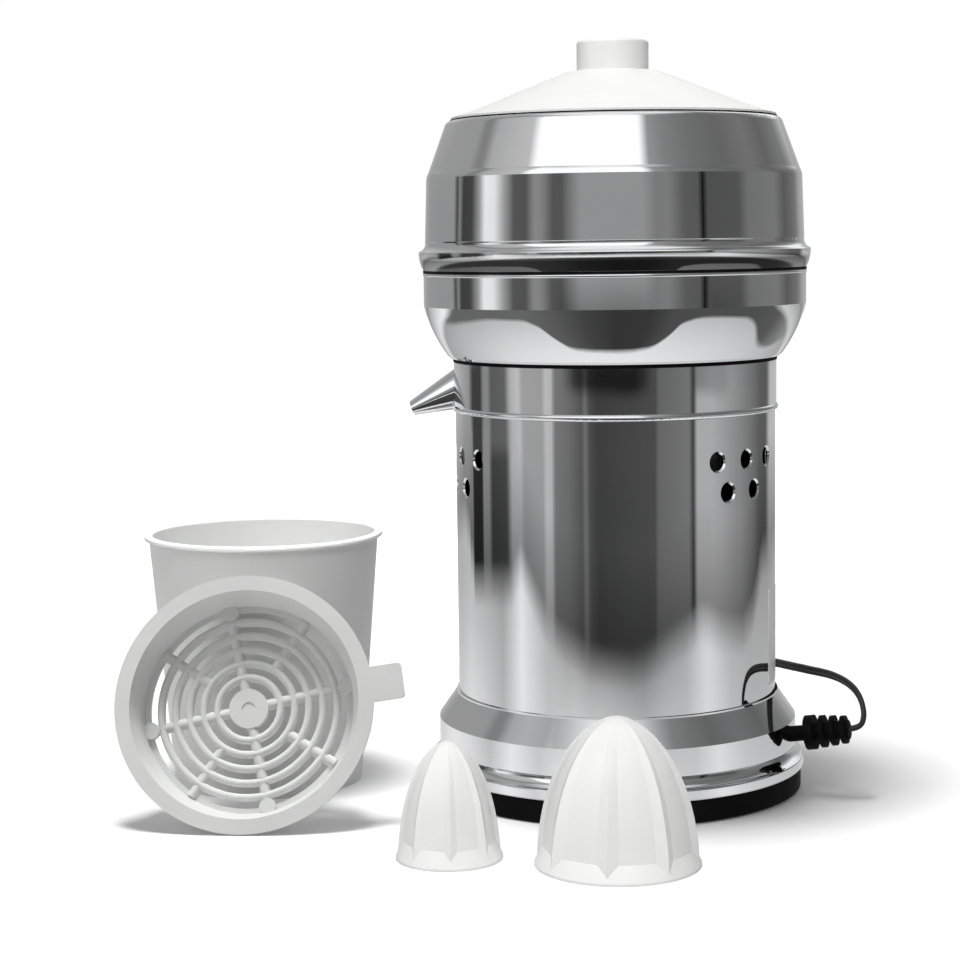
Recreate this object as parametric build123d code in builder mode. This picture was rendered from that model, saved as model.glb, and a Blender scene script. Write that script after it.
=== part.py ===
from build123d import *
import os
from math import atan2, cos, pi, radians, sin, tan

# A counter-top citrus juicer with its cup, sieve and two reamers. Sizes are in millimetres.
# The origin is the centre of the foot's underside, +Z is up, the spout points to -X,
# and the front faces -Y.

# Clearances and walls
seat_gap = 0.3
running_gap = 0.05
press_gap = 0.02
cut_past = 9.0
sheet_wall = 1.2
tube_wall = 1.0

# Foot, base skirt and bottom plate
foot_inset = 1.2
foot_width = 9.0
foot_height = 12.0
lip_overhang = 14.5
lip_height = 5.4
cove_height = 6.2
cove_depth = 1.4
band_height = 12.6
band_bottom_overhang = 10.4
band_top_overhang = 10.4
shoulder_height = 14.4
neck_height = 0.8
base_flange_width = 23.0
bottom_plate_thickness = 1.2
bottom_screw_count = 4
bottom_screw_radius = 1.9
bottom_screw_length = 9.0
screw_head_radius = 4.0
screw_head_height = 2.4
intake_hole_count = 12
intake_hole_radius = 4.0
intake_circle_radius = 56.0

# Body tube and its vents
body_radius = 82.5
body_exposed_height = 146.0
vent_radius = 4.4
vent_bevel = 0.9
vent_spacing_deg = 14.6
vent_upper_drop = 21.6
vent_row_step = 15.4
vent_row_shift_deg = -2.5
vent_group_angles = (-38.0, -161.0, 80.0)

# Deck plate and shaft seal
deck_recess = 4.6
deck_thickness = 4.0
deck_rim_height = 6.0
deck_rim_width = 3.5
seal_radius = 14.0
seal_height = 7.0

# Motor
motor_radius = 60.0
motor_wall = 4.0
bracket_height = 26.0
stator_height = 50.0
stator_bore_radius = 33.0
air_gap = 0.5
winding_inner_radius = 35.0
winding_outer_radius = 48.0
winding_height = 16.0
bolt_circle_radius = 52.0
bolt_count = 4
bolt_radius = 2.5
bolt_head_radius = 4.5
bolt_head_height = 3.5
bearing_radius = 16.0
bearing_height = 10.0
bearing_boss_wall = 4.0
shaft_radius = 6.5
shaft_seat_radius = 9.0
drive_end_radius = 6.0
drive_end_step = 0.4
shaft_tip_above_bowl = 95.0
shaft_tip_chamfer = 1.0
shaft_tail = 20.0
rotor_end_ring = 2.0
fan_radius = 52.0
fan_height = 14.0
fan_hub_radius = 11.0
fan_disc_thickness = 1.6
fan_blade_thickness = 1.6
fan_blade_count = 9
fan_gap = 2.5
drive_pin_radius = 2.0
drive_pin_length = 22.0

# Wiring inside the base
capacitor_radius = 14.0
capacitor_length = 58.0
capacitor_y = -34.0
clip_wall = 1.2
clip_width = 14.0
terminal_length = 36.0
terminal_width = 18.0
terminal_height = 15.0
terminal_y = 34.0
inner_lead_radius = 2.6

# Switch at the rear
switch_height = 105.0
switch_bezel_radius = 11.8
switch_bezel_height = 1.8
switch_barrel_radius = 10.0
switch_motor_gap = 4.5
rocker_length = 13.0
rocker_width = 9.0
rocker_crown = 1.7
rocker_dip = 0.6
rocker_depth = 3.0
rocker_tilt = 10.0
rocker_pin_radius = 1.0
rocker_pin_reach = 0.8
rocker_side_gap = 0.4
rocker_end_gap = 0.9
rocker_pocket_depth = 6.5

# Lower bowl, its floor, its chimney and the spout
bowl_radius = 98.0
bowl_collar_overhang = 0.6
bowl_collar_height = 27.3
bowl_curve_height = 26.8
bowl_belly_bulge = 1.4
bowl_round_height = 1.2
bowl_round_width = 1.6
bowl_edge_step = 1.3
bowl_wall_height = 18.0
bowl_bead_height = 1.6
bowl_bead_bulge = 0.4
bowl_bead_drop = 1.1
bowl_floor_thickness = 1.6
bowl_hem_height = 3.0
bowl_hem_bulge = 0.9
bowl_guide_height = 3.0
bowl_guide_width = 1.5
chimney_radius = 15.2
chimney_height = 46.0
chimney_flange_radius = 22.0
spout_root_half_width = 10.2
spout_root_half_height = 11.2
spout_tip_half_width = 7.0
spout_tip_half_height = 3.9
spout_wall = 1.0
spout_reach = 22.0
spout_drop = 10.5
spout_tip_tilt = 22.0
spout_above_floor = 10.0

# Dome and its guide ring
dome_lip_overhang = 2.4
dome_lip_height = 9.7
dome_lip_taper = 2.2
dome_lip_bulge = 0.5
dome_fillet_width = 2.6
dome_fillet_height = 5.0
dome_wall_inset = 1.0
dome_wall_height = 36.6
dome_wall_taper = 1.1
dome_crease_height = 3.4
dome_crease_inset = 1.2
dome_cone_height = 23.2
dome_cone_inset = 8.5
dome_shoulder_height = 2.4
dome_shoulder_inset = 2.2
dome_mouth_lip = 1.8
guide_ring_wall = 1.0
guide_ring_depth = 7.0

# Lid
lid_seat_width = 0.7
lid_wall = 2.2
lid_edge_height = 1.5
lid_brim_width = 12.5
lid_brim_rise = 3.9
lid_cone_rise = 18.6
lid_foot_width = 5.4
lid_knob_radius = 18.3
lid_knob_height = 15.6
lid_knob_round = 1.6
lid_plug_depth = 6.0
lid_plug_gap = 0.8

# Cup
cup_x = -186.0
cup_y = 8.0
cup_base_radius = 49.5
cup_mouth_radius = 60.4
cup_height = 132.6
cup_wall = 2.0
cup_floor = 2.5
cup_bead_height = 2.6
cup_bead_reach = 2.3
cup_bead_round = 0.9
cup_foot_recess = 1.5

# Sieve, leaning on the cup
sieve_lean = 21.5
sieve_turn = 13.0
sieve_shift = 3.3
sieve_radius = 64.1
sieve_flange_width = 7.4
sieve_flange_thickness = 2.0
sieve_depth = 20.0
sieve_floor_radius = 54.0
sieve_wall = 2.0
sieve_hub_radius = 9.8
sieve_hub_height = 4.3
sieve_ring_count = 5
sieve_ring_first = 15.7
sieve_ring_step = 7.1
sieve_bar_width = 3.7
sieve_bar_height = 4.2
sieve_spoke_radius = 2.75
sieve_spoke_sink = 1.6
sieve_dimple_radius = 3.3
sieve_dimple_depth = 0.5
sieve_spoke_count = 4
sieve_post_radius = 4.0
sieve_post_height = 4.6
sieve_tab_length = 15.0
sieve_tab_width = 17.5
sieve_tab_round = 2.0
sieve_tab_turn = -4.5

# Reamers
reamer_ridges = 8
reamer_levels = (0, 0.25, 0.5, 0.68, 0.82, 0.92, 0.98)
reamer_power = 0.55
reamer_flute_power = 1.3
reamer_ridge_half_deg = 8.0
reamer_face_flat = 0.985
reamer_hub_wall = 2.2
bush_wall = 2.4
bush_length = 36.0
bush_lift = 2.0
slot_depth = 8.0
slot_clearance = 0.3
mouth_spare = 0.6
tip_spare = 1.0
large_reamer_x = 0.0
large_reamer_y = -157.0
large_reamer_radius = 37.3
large_reamer_height = 68.6
large_reamer_foot = 38.4
large_reamer_flute = 2.6
large_reamer_wall = 4.5
large_reamer_ridge_angle = -97.5
small_reamer_x = -78.0
small_reamer_y = -148.0
small_reamer_radius = 23.5
small_reamer_height = 55.2
small_reamer_foot = 25.0
small_reamer_flute = 1.8
small_reamer_wall = 3.0
small_reamer_ridge_angle = -84.4
reamer_foot_edge = 1.2
reamer_foot_bevel = 7.2

# Cord, its boot, coil, tie and plug
cord_diameter = 5.2
boot_angle = -18.0
boot_tilt = 8.5
boot_neck_radius = 4.0
boot_neck_length = 8.4
boot_inner_flange = 2.0
boot_inner_flange_radius = 7.0
boot_rib_radius = 8.8
boot_rib_taper = 0.55
boot_first_rib = 4.6
boot_rib_width = 2.4
boot_rib_pitch = 5.4
boot_rib_count = 3
boot_core_radius = 4.7
boot_tip = 1.4
coil_y = 165.0
coil_turns_per_layer = 2.5
coil_pitch = 6.8
coil_middle_diameter = 57.2
tie_thickness = 1.0
tie_width = 9.0
plug_x = -74.0
plug_y = 152.0
plug_width = 30.0
plug_thickness = 13.0
plug_length = 32.0
plug_neck_length = 9.0
plug_neck_radius = 4.6
plug_round = 3.5
plug_pin_radius = 2.0
plug_pin_length = 19.0
plug_pin_spacing = 19.0
plug_pin_seat = 6.0

# Heights, from the floor up
lip_top = foot_height + lip_height
band_bottom = lip_top + cove_height
band_top = band_bottom + band_height
seam_height = band_top + shoulder_height
base_floor = foot_height + sheet_wall
body_top = seam_height + body_exposed_height
bowl_bottom = body_top + seat_gap
bowl_floor_top = bowl_bottom + bowl_floor_thickness
collar_top = bowl_bottom + bowl_collar_height
bowl_shoulder = collar_top + bowl_curve_height
bowl_rim = bowl_shoulder + bowl_wall_height
dome_bottom = bowl_rim + seat_gap
dome_lip_top = dome_bottom + dome_lip_height
dome_wall_top = dome_lip_top + dome_wall_height
dome_cone_bottom = dome_wall_top + dome_crease_height
dome_cone_top = dome_cone_bottom + dome_cone_height
dome_top = dome_cone_top + dome_shoulder_height
lid_bottom = dome_top + seat_gap
lid_brim_top = lid_bottom + lid_edge_height + lid_brim_rise
lid_cone_top = lid_brim_top + lid_cone_rise
lid_top = lid_cone_top + lid_knob_height
deck_top = body_top - deck_recess
deck_bottom = deck_top - deck_thickness
stator_top = deck_bottom - bracket_height
stator_bottom = stator_top - stator_height
motor_bottom = stator_bottom - bracket_height
fan_top = motor_bottom - bolt_head_height - fan_gap
shaft_bottom = fan_top - shaft_tail
shaft_tip = bowl_floor_top + shaft_tip_above_bowl
drive_pin_height = shaft_tip - (bush_length - slot_depth) - tip_spare - drive_pin_radius
boot_height = band_bottom + 0.64 * band_height

# Radii that follow from the sizes above
lip_radius = body_radius + lip_overhang
band_bottom_radius = body_radius + band_bottom_overhang
band_top_radius = body_radius + band_top_overhang
base_flange_inner = lip_radius - base_flange_width
foot_radius = lip_radius - foot_inset
foot_inner = foot_radius - foot_width
tube_inner = body_radius - tube_wall
bottom_screw_circle = (base_flange_inner + tube_inner) / 2
shaft_bore = shaft_radius + running_gap
rotor_radius = stator_bore_radius - air_gap
switch_depth = body_radius - motor_radius - switch_motor_gap
bowl_inner = bowl_radius - sheet_wall
bowl_collar_radius = body_radius + bowl_collar_overhang
collar_inner = bowl_collar_radius - sheet_wall
bowl_edge = bowl_collar_radius + bowl_edge_step
belly_foot_radius = bowl_edge + bowl_round_width
chimney_bore = chimney_radius - sheet_wall
dome_lip_radius = bowl_radius + dome_lip_overhang
dome_wall_radius = bowl_radius - dome_wall_inset
wall_top_radius = dome_wall_radius - dome_wall_taper
cone_bottom_radius = wall_top_radius - dome_crease_inset
cone_top_radius = cone_bottom_radius - dome_cone_inset
mouth_radius = cone_top_radius - dome_shoulder_inset
opening_radius = mouth_radius - dome_mouth_lip
lid_radius = opening_radius + lid_seat_width

os.makedirs("parts", exist_ok=True)

machine_axis = Axis.Z
above = (Align.CENTER, Align.CENTER, Align.MIN)
below = (Align.CENTER, Align.CENTER, Align.MAX)


def keep(piece, name):
    """Label a finished piece and write it."""
    piece.part.label = name
    export_step(piece.part, f"parts/{name}.step")


def around(radius, angle, height):
    """The point at a radius, an angle in degrees from +X and a height."""
    return (radius * cos(radians(angle)), radius * sin(radians(angle)), height)


def ring(inner, outer, bottom, height):
    """A plain ring on the machine's axis."""
    with BuildPart() as piece:
        with BuildSketch(Plane.XY.offset(bottom)):
            Circle(outer)
            Circle(inner, mode=Mode.SUBTRACT)
        extrude(amount=height)
    return piece


# Foot ring
with BuildPart() as foot_ring:
    with BuildSketch():
        Circle(foot_radius)
        Circle(foot_inner, mode=Mode.SUBTRACT)
    extrude(amount=foot_height)
    fillet(foot_ring.edges().group_by(Axis.Z)[0], foot_width / 6)
keep(foot_ring, "foot_ring")

# Base skirt: neck, flared shoulder, band, cove, rolled lip and an inward flange
with BuildPart() as base_skirt:
    neck_inner = body_radius + press_gap
    neck_outer = neck_inner + sheet_wall
    with BuildSketch(Plane.XZ):
        with BuildLine():
            outer_top = (neck_outer, seam_height + neck_height)
            cove_top = (band_bottom_radius - cove_depth, band_bottom - cove_depth / 2)
            cove_middle = (
                lip_radius - 0.75 * (lip_radius - cove_top[0]),
                lip_top + 0.3 * cove_height,
            )
            Polyline(
                outer_top,
                (neck_outer, seam_height),
                (band_top_radius, band_top + sheet_wall),
                (band_top_radius, band_top),
                (band_bottom_radius, band_bottom),
                cove_top,
            )
            ThreePointArc(cove_top, cove_middle, (lip_radius, lip_top))
            Polyline(
                (lip_radius, lip_top),
                (lip_radius, foot_height),
                (base_flange_inner, foot_height),
                (base_flange_inner, base_floor),
                (lip_radius - sheet_wall, base_floor),
                (lip_radius - sheet_wall, lip_top - sheet_wall),
                (cove_top[0] - sheet_wall, lip_top + sheet_wall),
                (cove_top[0] - sheet_wall, band_bottom),
                (band_top_radius - sheet_wall, band_top),
                (neck_inner, seam_height - sheet_wall),
                (neck_inner, seam_height + neck_height),
                outer_top,
            )
        make_face()
    revolve(axis=machine_axis)
    lip_edges = base_skirt.edges().filter_by(GeomType.CIRCLE).filter_by(
        lambda edge: abs(edge.radius - lip_radius) < press_gap
    )
    fillet(lip_edges, sheet_wall / 2)
    boot_plane = Plane(
        origin=around(base_flange_inner, boot_angle, boot_height),
        x_dir=(0, 0, 1),
        z_dir=around(1, boot_angle, 0),
    )
    with BuildSketch(boot_plane):
        Circle(boot_neck_radius + press_gap)
    extrude(amount=base_flange_width + cut_past, mode=Mode.SUBTRACT)
    with PolarLocations(bottom_screw_circle, bottom_screw_count, start_angle=45):
        with Locations((0, 0, foot_height)):
            Cylinder(bottom_screw_radius + press_gap, 3 * sheet_wall, mode=Mode.SUBTRACT)
keep(base_skirt, "base_skirt")

# Bottom plate with its air intake
with BuildPart() as bottom_plate:
    with BuildSketch(Plane.XY.offset(foot_height - bottom_plate_thickness)):
        Circle(foot_inner - seat_gap)
        with PolarLocations(bottom_screw_circle, bottom_screw_count, start_angle=45):
            Circle(bottom_screw_radius + press_gap, mode=Mode.SUBTRACT)
        with PolarLocations(intake_circle_radius, intake_hole_count):
            Circle(intake_hole_radius, mode=Mode.SUBTRACT)
    extrude(amount=bottom_plate_thickness)
keep(bottom_plate, "bottom_plate")

with BuildPart() as bottom_screws:
    head_top = foot_height - bottom_plate_thickness
    with PolarLocations(bottom_screw_circle, bottom_screw_count, start_angle=45):
        with Locations((0, 0, head_top)):
            Cylinder(screw_head_radius, screw_head_height, align=below)
            Cylinder(bottom_screw_radius, bottom_screw_length, align=above)
keep(bottom_screws, "bottom_screws")

# Body tube: a vent group is three holes over two
with BuildPart() as body_tube:
    with BuildSketch(Plane.XY.offset(base_floor)):
        Circle(body_radius)
        Circle(tube_inner, mode=Mode.SUBTRACT)
    extrude(amount=body_top - base_floor)
    for group_angle in vent_group_angles:
        for row, count in enumerate((3, 2)):
            for place in range(count):
                angle = group_angle + (place - (count - 1) / 2) * vent_spacing_deg + row * vent_row_shift_deg
                height = body_top - vent_upper_drop - row * vent_row_step
                vent_plane = Plane(around(0, 0, height), x_dir=(0, 0, 1), z_dir=around(1, angle, 0))
                with BuildSketch(vent_plane.offset(motor_radius)):
                    Circle(vent_radius)
                extrude(amount=body_radius - motor_radius + cut_past, mode=Mode.SUBTRACT)
                with BuildSketch(vent_plane.offset(body_radius - vent_bevel)):
                    Circle(vent_radius)
                extrude(amount=2 * vent_bevel, taper=-45, mode=Mode.SUBTRACT)
    with BuildSketch(boot_plane):
        Circle(boot_neck_radius + press_gap)
    extrude(amount=base_flange_width, mode=Mode.SUBTRACT)
    switch_plane = Plane((0, body_radius, switch_height), x_dir=(-1, 0, 0), z_dir=(0, 1, 0))
    with BuildSketch(switch_plane.offset(-switch_depth)):
        Circle(switch_barrel_radius + press_gap)
    extrude(amount=2 * switch_depth, mode=Mode.SUBTRACT)
keep(body_tube, "body_tube")

# Deck plate that closes the tube and carries the motor
with BuildPart() as deck_plate:
    deck_radius = tube_inner - press_gap
    with BuildSketch(Plane.XY.offset(deck_bottom)):
        Circle(deck_radius)
        Circle(seal_radius + press_gap, mode=Mode.SUBTRACT)
        with PolarLocations(bolt_circle_radius, bolt_count):
            Circle(bolt_radius + press_gap, mode=Mode.SUBTRACT)
    extrude(amount=deck_thickness)
    with BuildSketch(Plane.XY.offset(deck_bottom - deck_rim_height)):
        Circle(deck_radius)
        Circle(deck_radius - deck_rim_width, mode=Mode.SUBTRACT)
    extrude(amount=deck_rim_height)
keep(deck_plate, "deck_plate")

shaft_seal = ring(shaft_bore, seal_radius, deck_bottom, seal_height)
keep(shaft_seal, "shaft_seal")

# Motor end brackets, which are cups with a bearing boss
for name, outside, inward in (("upper_bracket", deck_bottom, -1), ("lower_bracket", motor_bottom, 1)):
    end_plane = Plane((0, 0, outside), x_dir=(1, 0, 0), z_dir=(0, 0, inward))
    with BuildPart(end_plane) as bracket:
        Cylinder(motor_radius, bracket_height, align=above)
        with Locations((0, 0, motor_wall)):
            Cylinder(motor_radius - motor_wall, bracket_height, align=above, mode=Mode.SUBTRACT)
        Cylinder(bearing_radius + bearing_boss_wall, bearing_height + motor_wall, align=above)
        Cylinder(bearing_radius + press_gap, bearing_height, align=above, mode=Mode.SUBTRACT)
        Cylinder(
            shaft_seat_radius + motor_wall, bracket_height, align=above, mode=Mode.SUBTRACT
        )
        with PolarLocations(bolt_circle_radius, bolt_count):
            Cylinder(bolt_radius + press_gap, bracket_height, align=above, mode=Mode.SUBTRACT)
    keep(bracket, name)

for name, bottom in (
    ("upper_bearing", deck_bottom - bearing_height),
    ("lower_bearing", motor_bottom),
):
    bearing = ring(shaft_bore, bearing_radius, bottom, bearing_height)
    keep(bearing, name)

with BuildPart() as stator_core:
    with BuildSketch(Plane.XY.offset(stator_bottom)):
        Circle(motor_radius)
        Circle(stator_bore_radius, mode=Mode.SUBTRACT)
        with PolarLocations(bolt_circle_radius, bolt_count):
            Circle(bolt_radius + press_gap, mode=Mode.SUBTRACT)
    extrude(amount=stator_height)
keep(stator_core, "stator_core")

with BuildPart() as stator_windings:
    for bottom in (stator_top, stator_bottom - winding_height):
        with BuildSketch(Plane.XY.offset(bottom)):
            Circle(winding_outer_radius)
            Circle(winding_inner_radius, mode=Mode.SUBTRACT)
        extrude(amount=winding_height)
    winding_ends = stator_windings.edges().group_by(Axis.Z)
    fillet(winding_ends[0] + winding_ends[-1], (winding_outer_radius - winding_inner_radius) / 3)
keep(stator_windings, "stator_windings")

with BuildPart() as motor_bolts:
    with PolarLocations(bolt_circle_radius, bolt_count):
        with Locations((0, 0, motor_bottom)):
            Cylinder(bolt_head_radius, bolt_head_height, align=below)
            Cylinder(bolt_radius, deck_top - motor_bottom, align=above)
keep(motor_bolts, "motor_bolts")

# Rotor group
with BuildPart() as motor_shaft:
    seat_bottom = motor_bottom + bearing_height + seat_gap
    seat_top = deck_bottom - bearing_height - seat_gap
    step_height = drive_pin_height + drive_pin_radius + drive_end_step
    with Locations((0, 0, shaft_bottom)):
        Cylinder(shaft_radius, step_height - shaft_bottom, align=above)
    with Locations((0, 0, step_height)):
        Cylinder(drive_end_radius, shaft_tip - step_height, align=above)
    with Locations((0, 0, seat_bottom)):
        Cylinder(shaft_seat_radius, seat_top - seat_bottom, align=above)
    chamfer(motor_shaft.edges().group_by(Axis.Z)[-1], shaft_tip_chamfer)
    with BuildSketch(Plane.YZ.offset(-2 * shaft_radius)):
        with Locations((0, drive_pin_height)):
            Circle(drive_pin_radius + press_gap)
    extrude(amount=4 * shaft_radius, mode=Mode.SUBTRACT)
keep(motor_shaft, "motor_shaft")

with BuildPart() as drive_pin:
    with BuildSketch(Plane.YZ.offset(-drive_pin_length / 2)):
        with Locations((0, drive_pin_height)):
            Circle(drive_pin_radius)
    extrude(amount=drive_pin_length)
keep(drive_pin, "drive_pin")

rotor_core = ring(
    shaft_seat_radius + press_gap,
    rotor_radius,
    stator_bottom - rotor_end_ring,
    stator_height + 2 * rotor_end_ring,
)
keep(rotor_core, "rotor_core")

with BuildPart() as cooling_fan:
    with BuildSketch(Plane.XY.offset(fan_top - fan_height)):
        Circle(fan_hub_radius)
        with PolarLocations((fan_hub_radius + fan_radius) / 2 - fan_blade_thickness, fan_blade_count):
            Rectangle(fan_radius - fan_hub_radius, fan_blade_thickness)
    extrude(amount=fan_height)
    with BuildSketch(Plane.XY.offset(fan_top - fan_disc_thickness)):
        Circle(fan_radius)
    extrude(amount=fan_disc_thickness)
    with BuildSketch(Plane.XY.offset(fan_top - fan_height)):
        Circle(shaft_radius + press_gap)
    extrude(amount=fan_height, mode=Mode.SUBTRACT)
keep(cooling_fan, "cooling_fan")

# Capacitor in its clip, and the terminal block, on the bottom plate
capacitor_height = foot_height + clip_wall + capacitor_radius
with BuildPart() as capacitor:
    with BuildSketch(Plane.YZ.offset(-capacitor_length / 2)):
        with Locations((capacitor_y, capacitor_height)):
            Circle(capacitor_radius - press_gap)
    extrude(amount=capacitor_length)
    fillet(capacitor.edges().filter_by(GeomType.CIRCLE), capacitor_radius / 8)
keep(capacitor, "capacitor")

with BuildPart() as capacitor_clip:
    clip_outer = capacitor_radius + clip_wall
    with BuildSketch(Plane.YZ.offset(-clip_width / 2)):
        with Locations((capacitor_y, capacitor_height)):
            Circle(clip_outer)
        with Locations((capacitor_y, foot_height)):
            Rectangle(3 * clip_outer, clip_wall, align=(Align.CENTER, Align.MIN))
        with Locations((capacitor_y, capacitor_height)):
            Circle(capacitor_radius, mode=Mode.SUBTRACT)
        with Locations((capacitor_y, capacitor_height + clip_outer)):
            Rectangle(clip_outer, clip_outer, mode=Mode.SUBTRACT)
    extrude(amount=clip_width)
keep(capacitor_clip, "capacitor_clip")

with BuildPart() as terminal_block:
    with Locations((0, terminal_y, foot_height)):
        Box(terminal_length, terminal_width, terminal_height, align=above)
    top_face = terminal_block.faces().sort_by(Axis.Z)[-1]
    with Locations(top_face):
        with GridLocations(terminal_length / 3, 1, 3, 1):
            CounterBoreHole(
                terminal_width / 10, terminal_width / 6, terminal_height / 3, terminal_height / 2
            )
keep(terminal_block, "terminal_block")

# Lead from the boot to the terminal block, inside the base
with BuildPart() as inner_lead:
    boot_inside = tube_inner - seat_gap - boot_inner_flange
    lead_start = Vector(*around(boot_inside, boot_angle, boot_height))
    lead_turn = Vector(*around(0.7 * boot_inside, boot_angle, boot_height))
    lead_end = Vector(terminal_length / 2, terminal_y, foot_height + terminal_height / 2)
    lead_before_end = lead_end + Vector(lead_turn.X - lead_end.X, 0, 0) * 0.8
    with BuildLine():
        FilletPolyline(lead_start, lead_turn, lead_before_end, lead_end, radius=4 * inner_lead_radius)
    with BuildSketch(Plane(lead_start, z_dir=lead_turn - lead_start)):
        Circle(inner_lead_radius)
    sweep()
keep(inner_lead, "inner_lead")

# Switch: a round housing in the rear of the tube and a rocker on two pins
rocker_pivot = Vector(0, body_radius - rocker_depth / 2, switch_height)
tilted_plane = Plane(
    rocker_pivot,
    x_dir=(0, cos(radians(rocker_tilt)), sin(radians(rocker_tilt))),
    z_dir=(1, 0, 0),
)
with BuildPart() as switch_housing:
    with BuildSketch(switch_plane.offset(-switch_bezel_height)):
        Circle(switch_bezel_radius)
    extrude(amount=2 * switch_bezel_height)
    with BuildSketch(Plane.XY.offset(switch_height - 2 * switch_bezel_radius)):
        Circle(body_radius + press_gap)
    extrude(amount=4 * switch_bezel_radius, mode=Mode.SUBTRACT)
    with BuildSketch(switch_plane.offset(-switch_depth)):
        Circle(switch_barrel_radius)
    extrude(amount=switch_depth + switch_bezel_height)
    pocket_length = rocker_length + 2 * rocker_end_gap
    pocket_width = rocker_width + 2 * rocker_side_gap
    with BuildSketch(switch_plane.offset(-rocker_pocket_depth)):
        Rectangle(pocket_width, pocket_length)
    extrude(amount=rocker_pocket_depth + 2 * switch_bezel_height, mode=Mode.SUBTRACT)
    pin_span = pocket_width + 2 * (rocker_pin_reach + seat_gap)
    with BuildSketch(tilted_plane.offset(-pin_span / 2)):
        Circle(rocker_pin_radius + running_gap)
    extrude(amount=pin_span, mode=Mode.SUBTRACT)
keep(switch_housing, "switch_housing")

with BuildPart() as switch_rocker:
    half_length = rocker_length / 2
    face = rocker_depth / 2
    with BuildSketch(tilted_plane.offset(-rocker_width / 2)):
        with BuildLine():
            Polyline(
                (face + rocker_crown, -half_length),
                (face + rocker_dip, 0),
                (face + rocker_crown, half_length),
                (-face / 2, half_length),
                (-face, 0),
                (-face / 2, -half_length),
                close=True,
            )
        make_face()
    extrude(amount=rocker_width)
    rocker_pin_span = pocket_width + 2 * rocker_pin_reach
    with BuildSketch(tilted_plane.offset(-rocker_pin_span / 2)):
        Circle(rocker_pin_radius)
    extrude(amount=rocker_pin_span)
keep(switch_rocker, "switch_rocker")

# The spout's bore, lofted from inside the collar to the tip
spout_root_height = bowl_floor_top + spout_above_floor
spout_start = (bowl_collar_radius**2 - spout_root_half_width**2) ** 0.5 - sheet_wall
spout_root = Plane((-spout_start, 0, spout_root_height), x_dir=(0, 1, 0), z_dir=(-1, 0, 0))
spout_tip = Plane(
    (-bowl_collar_radius - spout_reach, 0, spout_root_height - spout_drop),
    x_dir=(0, 1, 0),
    z_dir=(-cos(radians(spout_tip_tilt)), 0, -sin(radians(spout_tip_tilt))),
)
with BuildPart() as spout_bore:
    with BuildSketch(spout_root):
        Ellipse(spout_root_half_width - spout_wall, spout_root_half_height - spout_wall)
    with BuildSketch(spout_tip):
        Ellipse(spout_tip_half_width - spout_wall, spout_tip_half_height - spout_wall)
    loft()

# Lower bowl: mouth with a bead, round belly, and a collar with a rolled hem
with BuildPart() as bowl_shell:
    hem_top = bowl_bottom + bowl_hem_height
    bead_top = bowl_rim - bowl_bead_drop
    bead_bottom = bead_top - bowl_bead_height
    belly_top = (bowl_radius, bowl_shoulder)
    belly_foot = (belly_foot_radius, collar_top + bowl_round_height)
    belly_drop = belly_top[1] - belly_foot[1]
    belly_slope = atan2(belly_top[0] - belly_foot[0], belly_drop)
    belly_middle = (
        (belly_top[0] + belly_foot[0]) / 2 + bowl_belly_bulge * cos(belly_slope),
        (belly_top[1] + belly_foot[1]) / 2 - bowl_belly_bulge * sin(belly_slope),
    )
    inner_foot = (belly_foot[0] - sheet_wall, belly_foot[1] + sheet_wall)
    inner_middle = (
        belly_middle[0] - sheet_wall * cos(belly_slope),
        belly_middle[1] + sheet_wall * sin(belly_slope),
    )
    with BuildSketch(Plane.XZ):
        with BuildLine():
            Line((bowl_radius, bowl_rim), (bowl_radius, bead_top))
            ThreePointArc(
                (bowl_radius, bead_top),
                (bowl_radius + bowl_bead_bulge, (bead_top + bead_bottom) / 2),
                (bowl_radius, bead_bottom),
            )
            Line((bowl_radius, bead_bottom), belly_top)
            ThreePointArc(belly_top, belly_middle, belly_foot)
            Line(belly_foot, (bowl_edge, collar_top))
            Polyline(
                (bowl_edge, collar_top),
                (bowl_collar_radius, collar_top - bowl_edge_step / 2),
                (bowl_collar_radius, hem_top),
            )
            ThreePointArc(
                (bowl_collar_radius, hem_top),
                (bowl_collar_radius + bowl_hem_bulge, (hem_top + bowl_bottom) / 2),
                (bowl_collar_radius, bowl_bottom),
            )
            Polyline(
                (bowl_collar_radius, bowl_bottom),
                (collar_inner, bowl_bottom),
                (collar_inner, collar_top + sheet_wall),
                inner_foot,
            )
            ThreePointArc(inner_foot, inner_middle, (bowl_inner, bowl_shoulder))
            Polyline(
                (bowl_inner, bowl_shoulder),
                (bowl_inner, bowl_rim),
                (bowl_radius, bowl_rim),
            )
        make_face()
    revolve(axis=machine_axis)
    add(spout_bore.part, mode=Mode.SUBTRACT)
keep(bowl_shell, "bowl_shell")

# Spout, a loft around that bore, cut to the collar's outside
with BuildPart() as spout:
    with BuildSketch(spout_root):
        Ellipse(spout_root_half_width, spout_root_half_height)
    with BuildSketch(spout_tip):
        Ellipse(spout_tip_half_width, spout_tip_half_height)
    loft()
    add(spout_bore.part, mode=Mode.SUBTRACT)
    with BuildSketch(Plane.XY.offset(bowl_bottom)):
        Circle(bowl_collar_radius + press_gap)
    extrude(amount=bowl_collar_height + cut_past, mode=Mode.SUBTRACT)
    add(bowl_shell.part, mode=Mode.SUBTRACT)
keep(spout, "spout")

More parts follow.
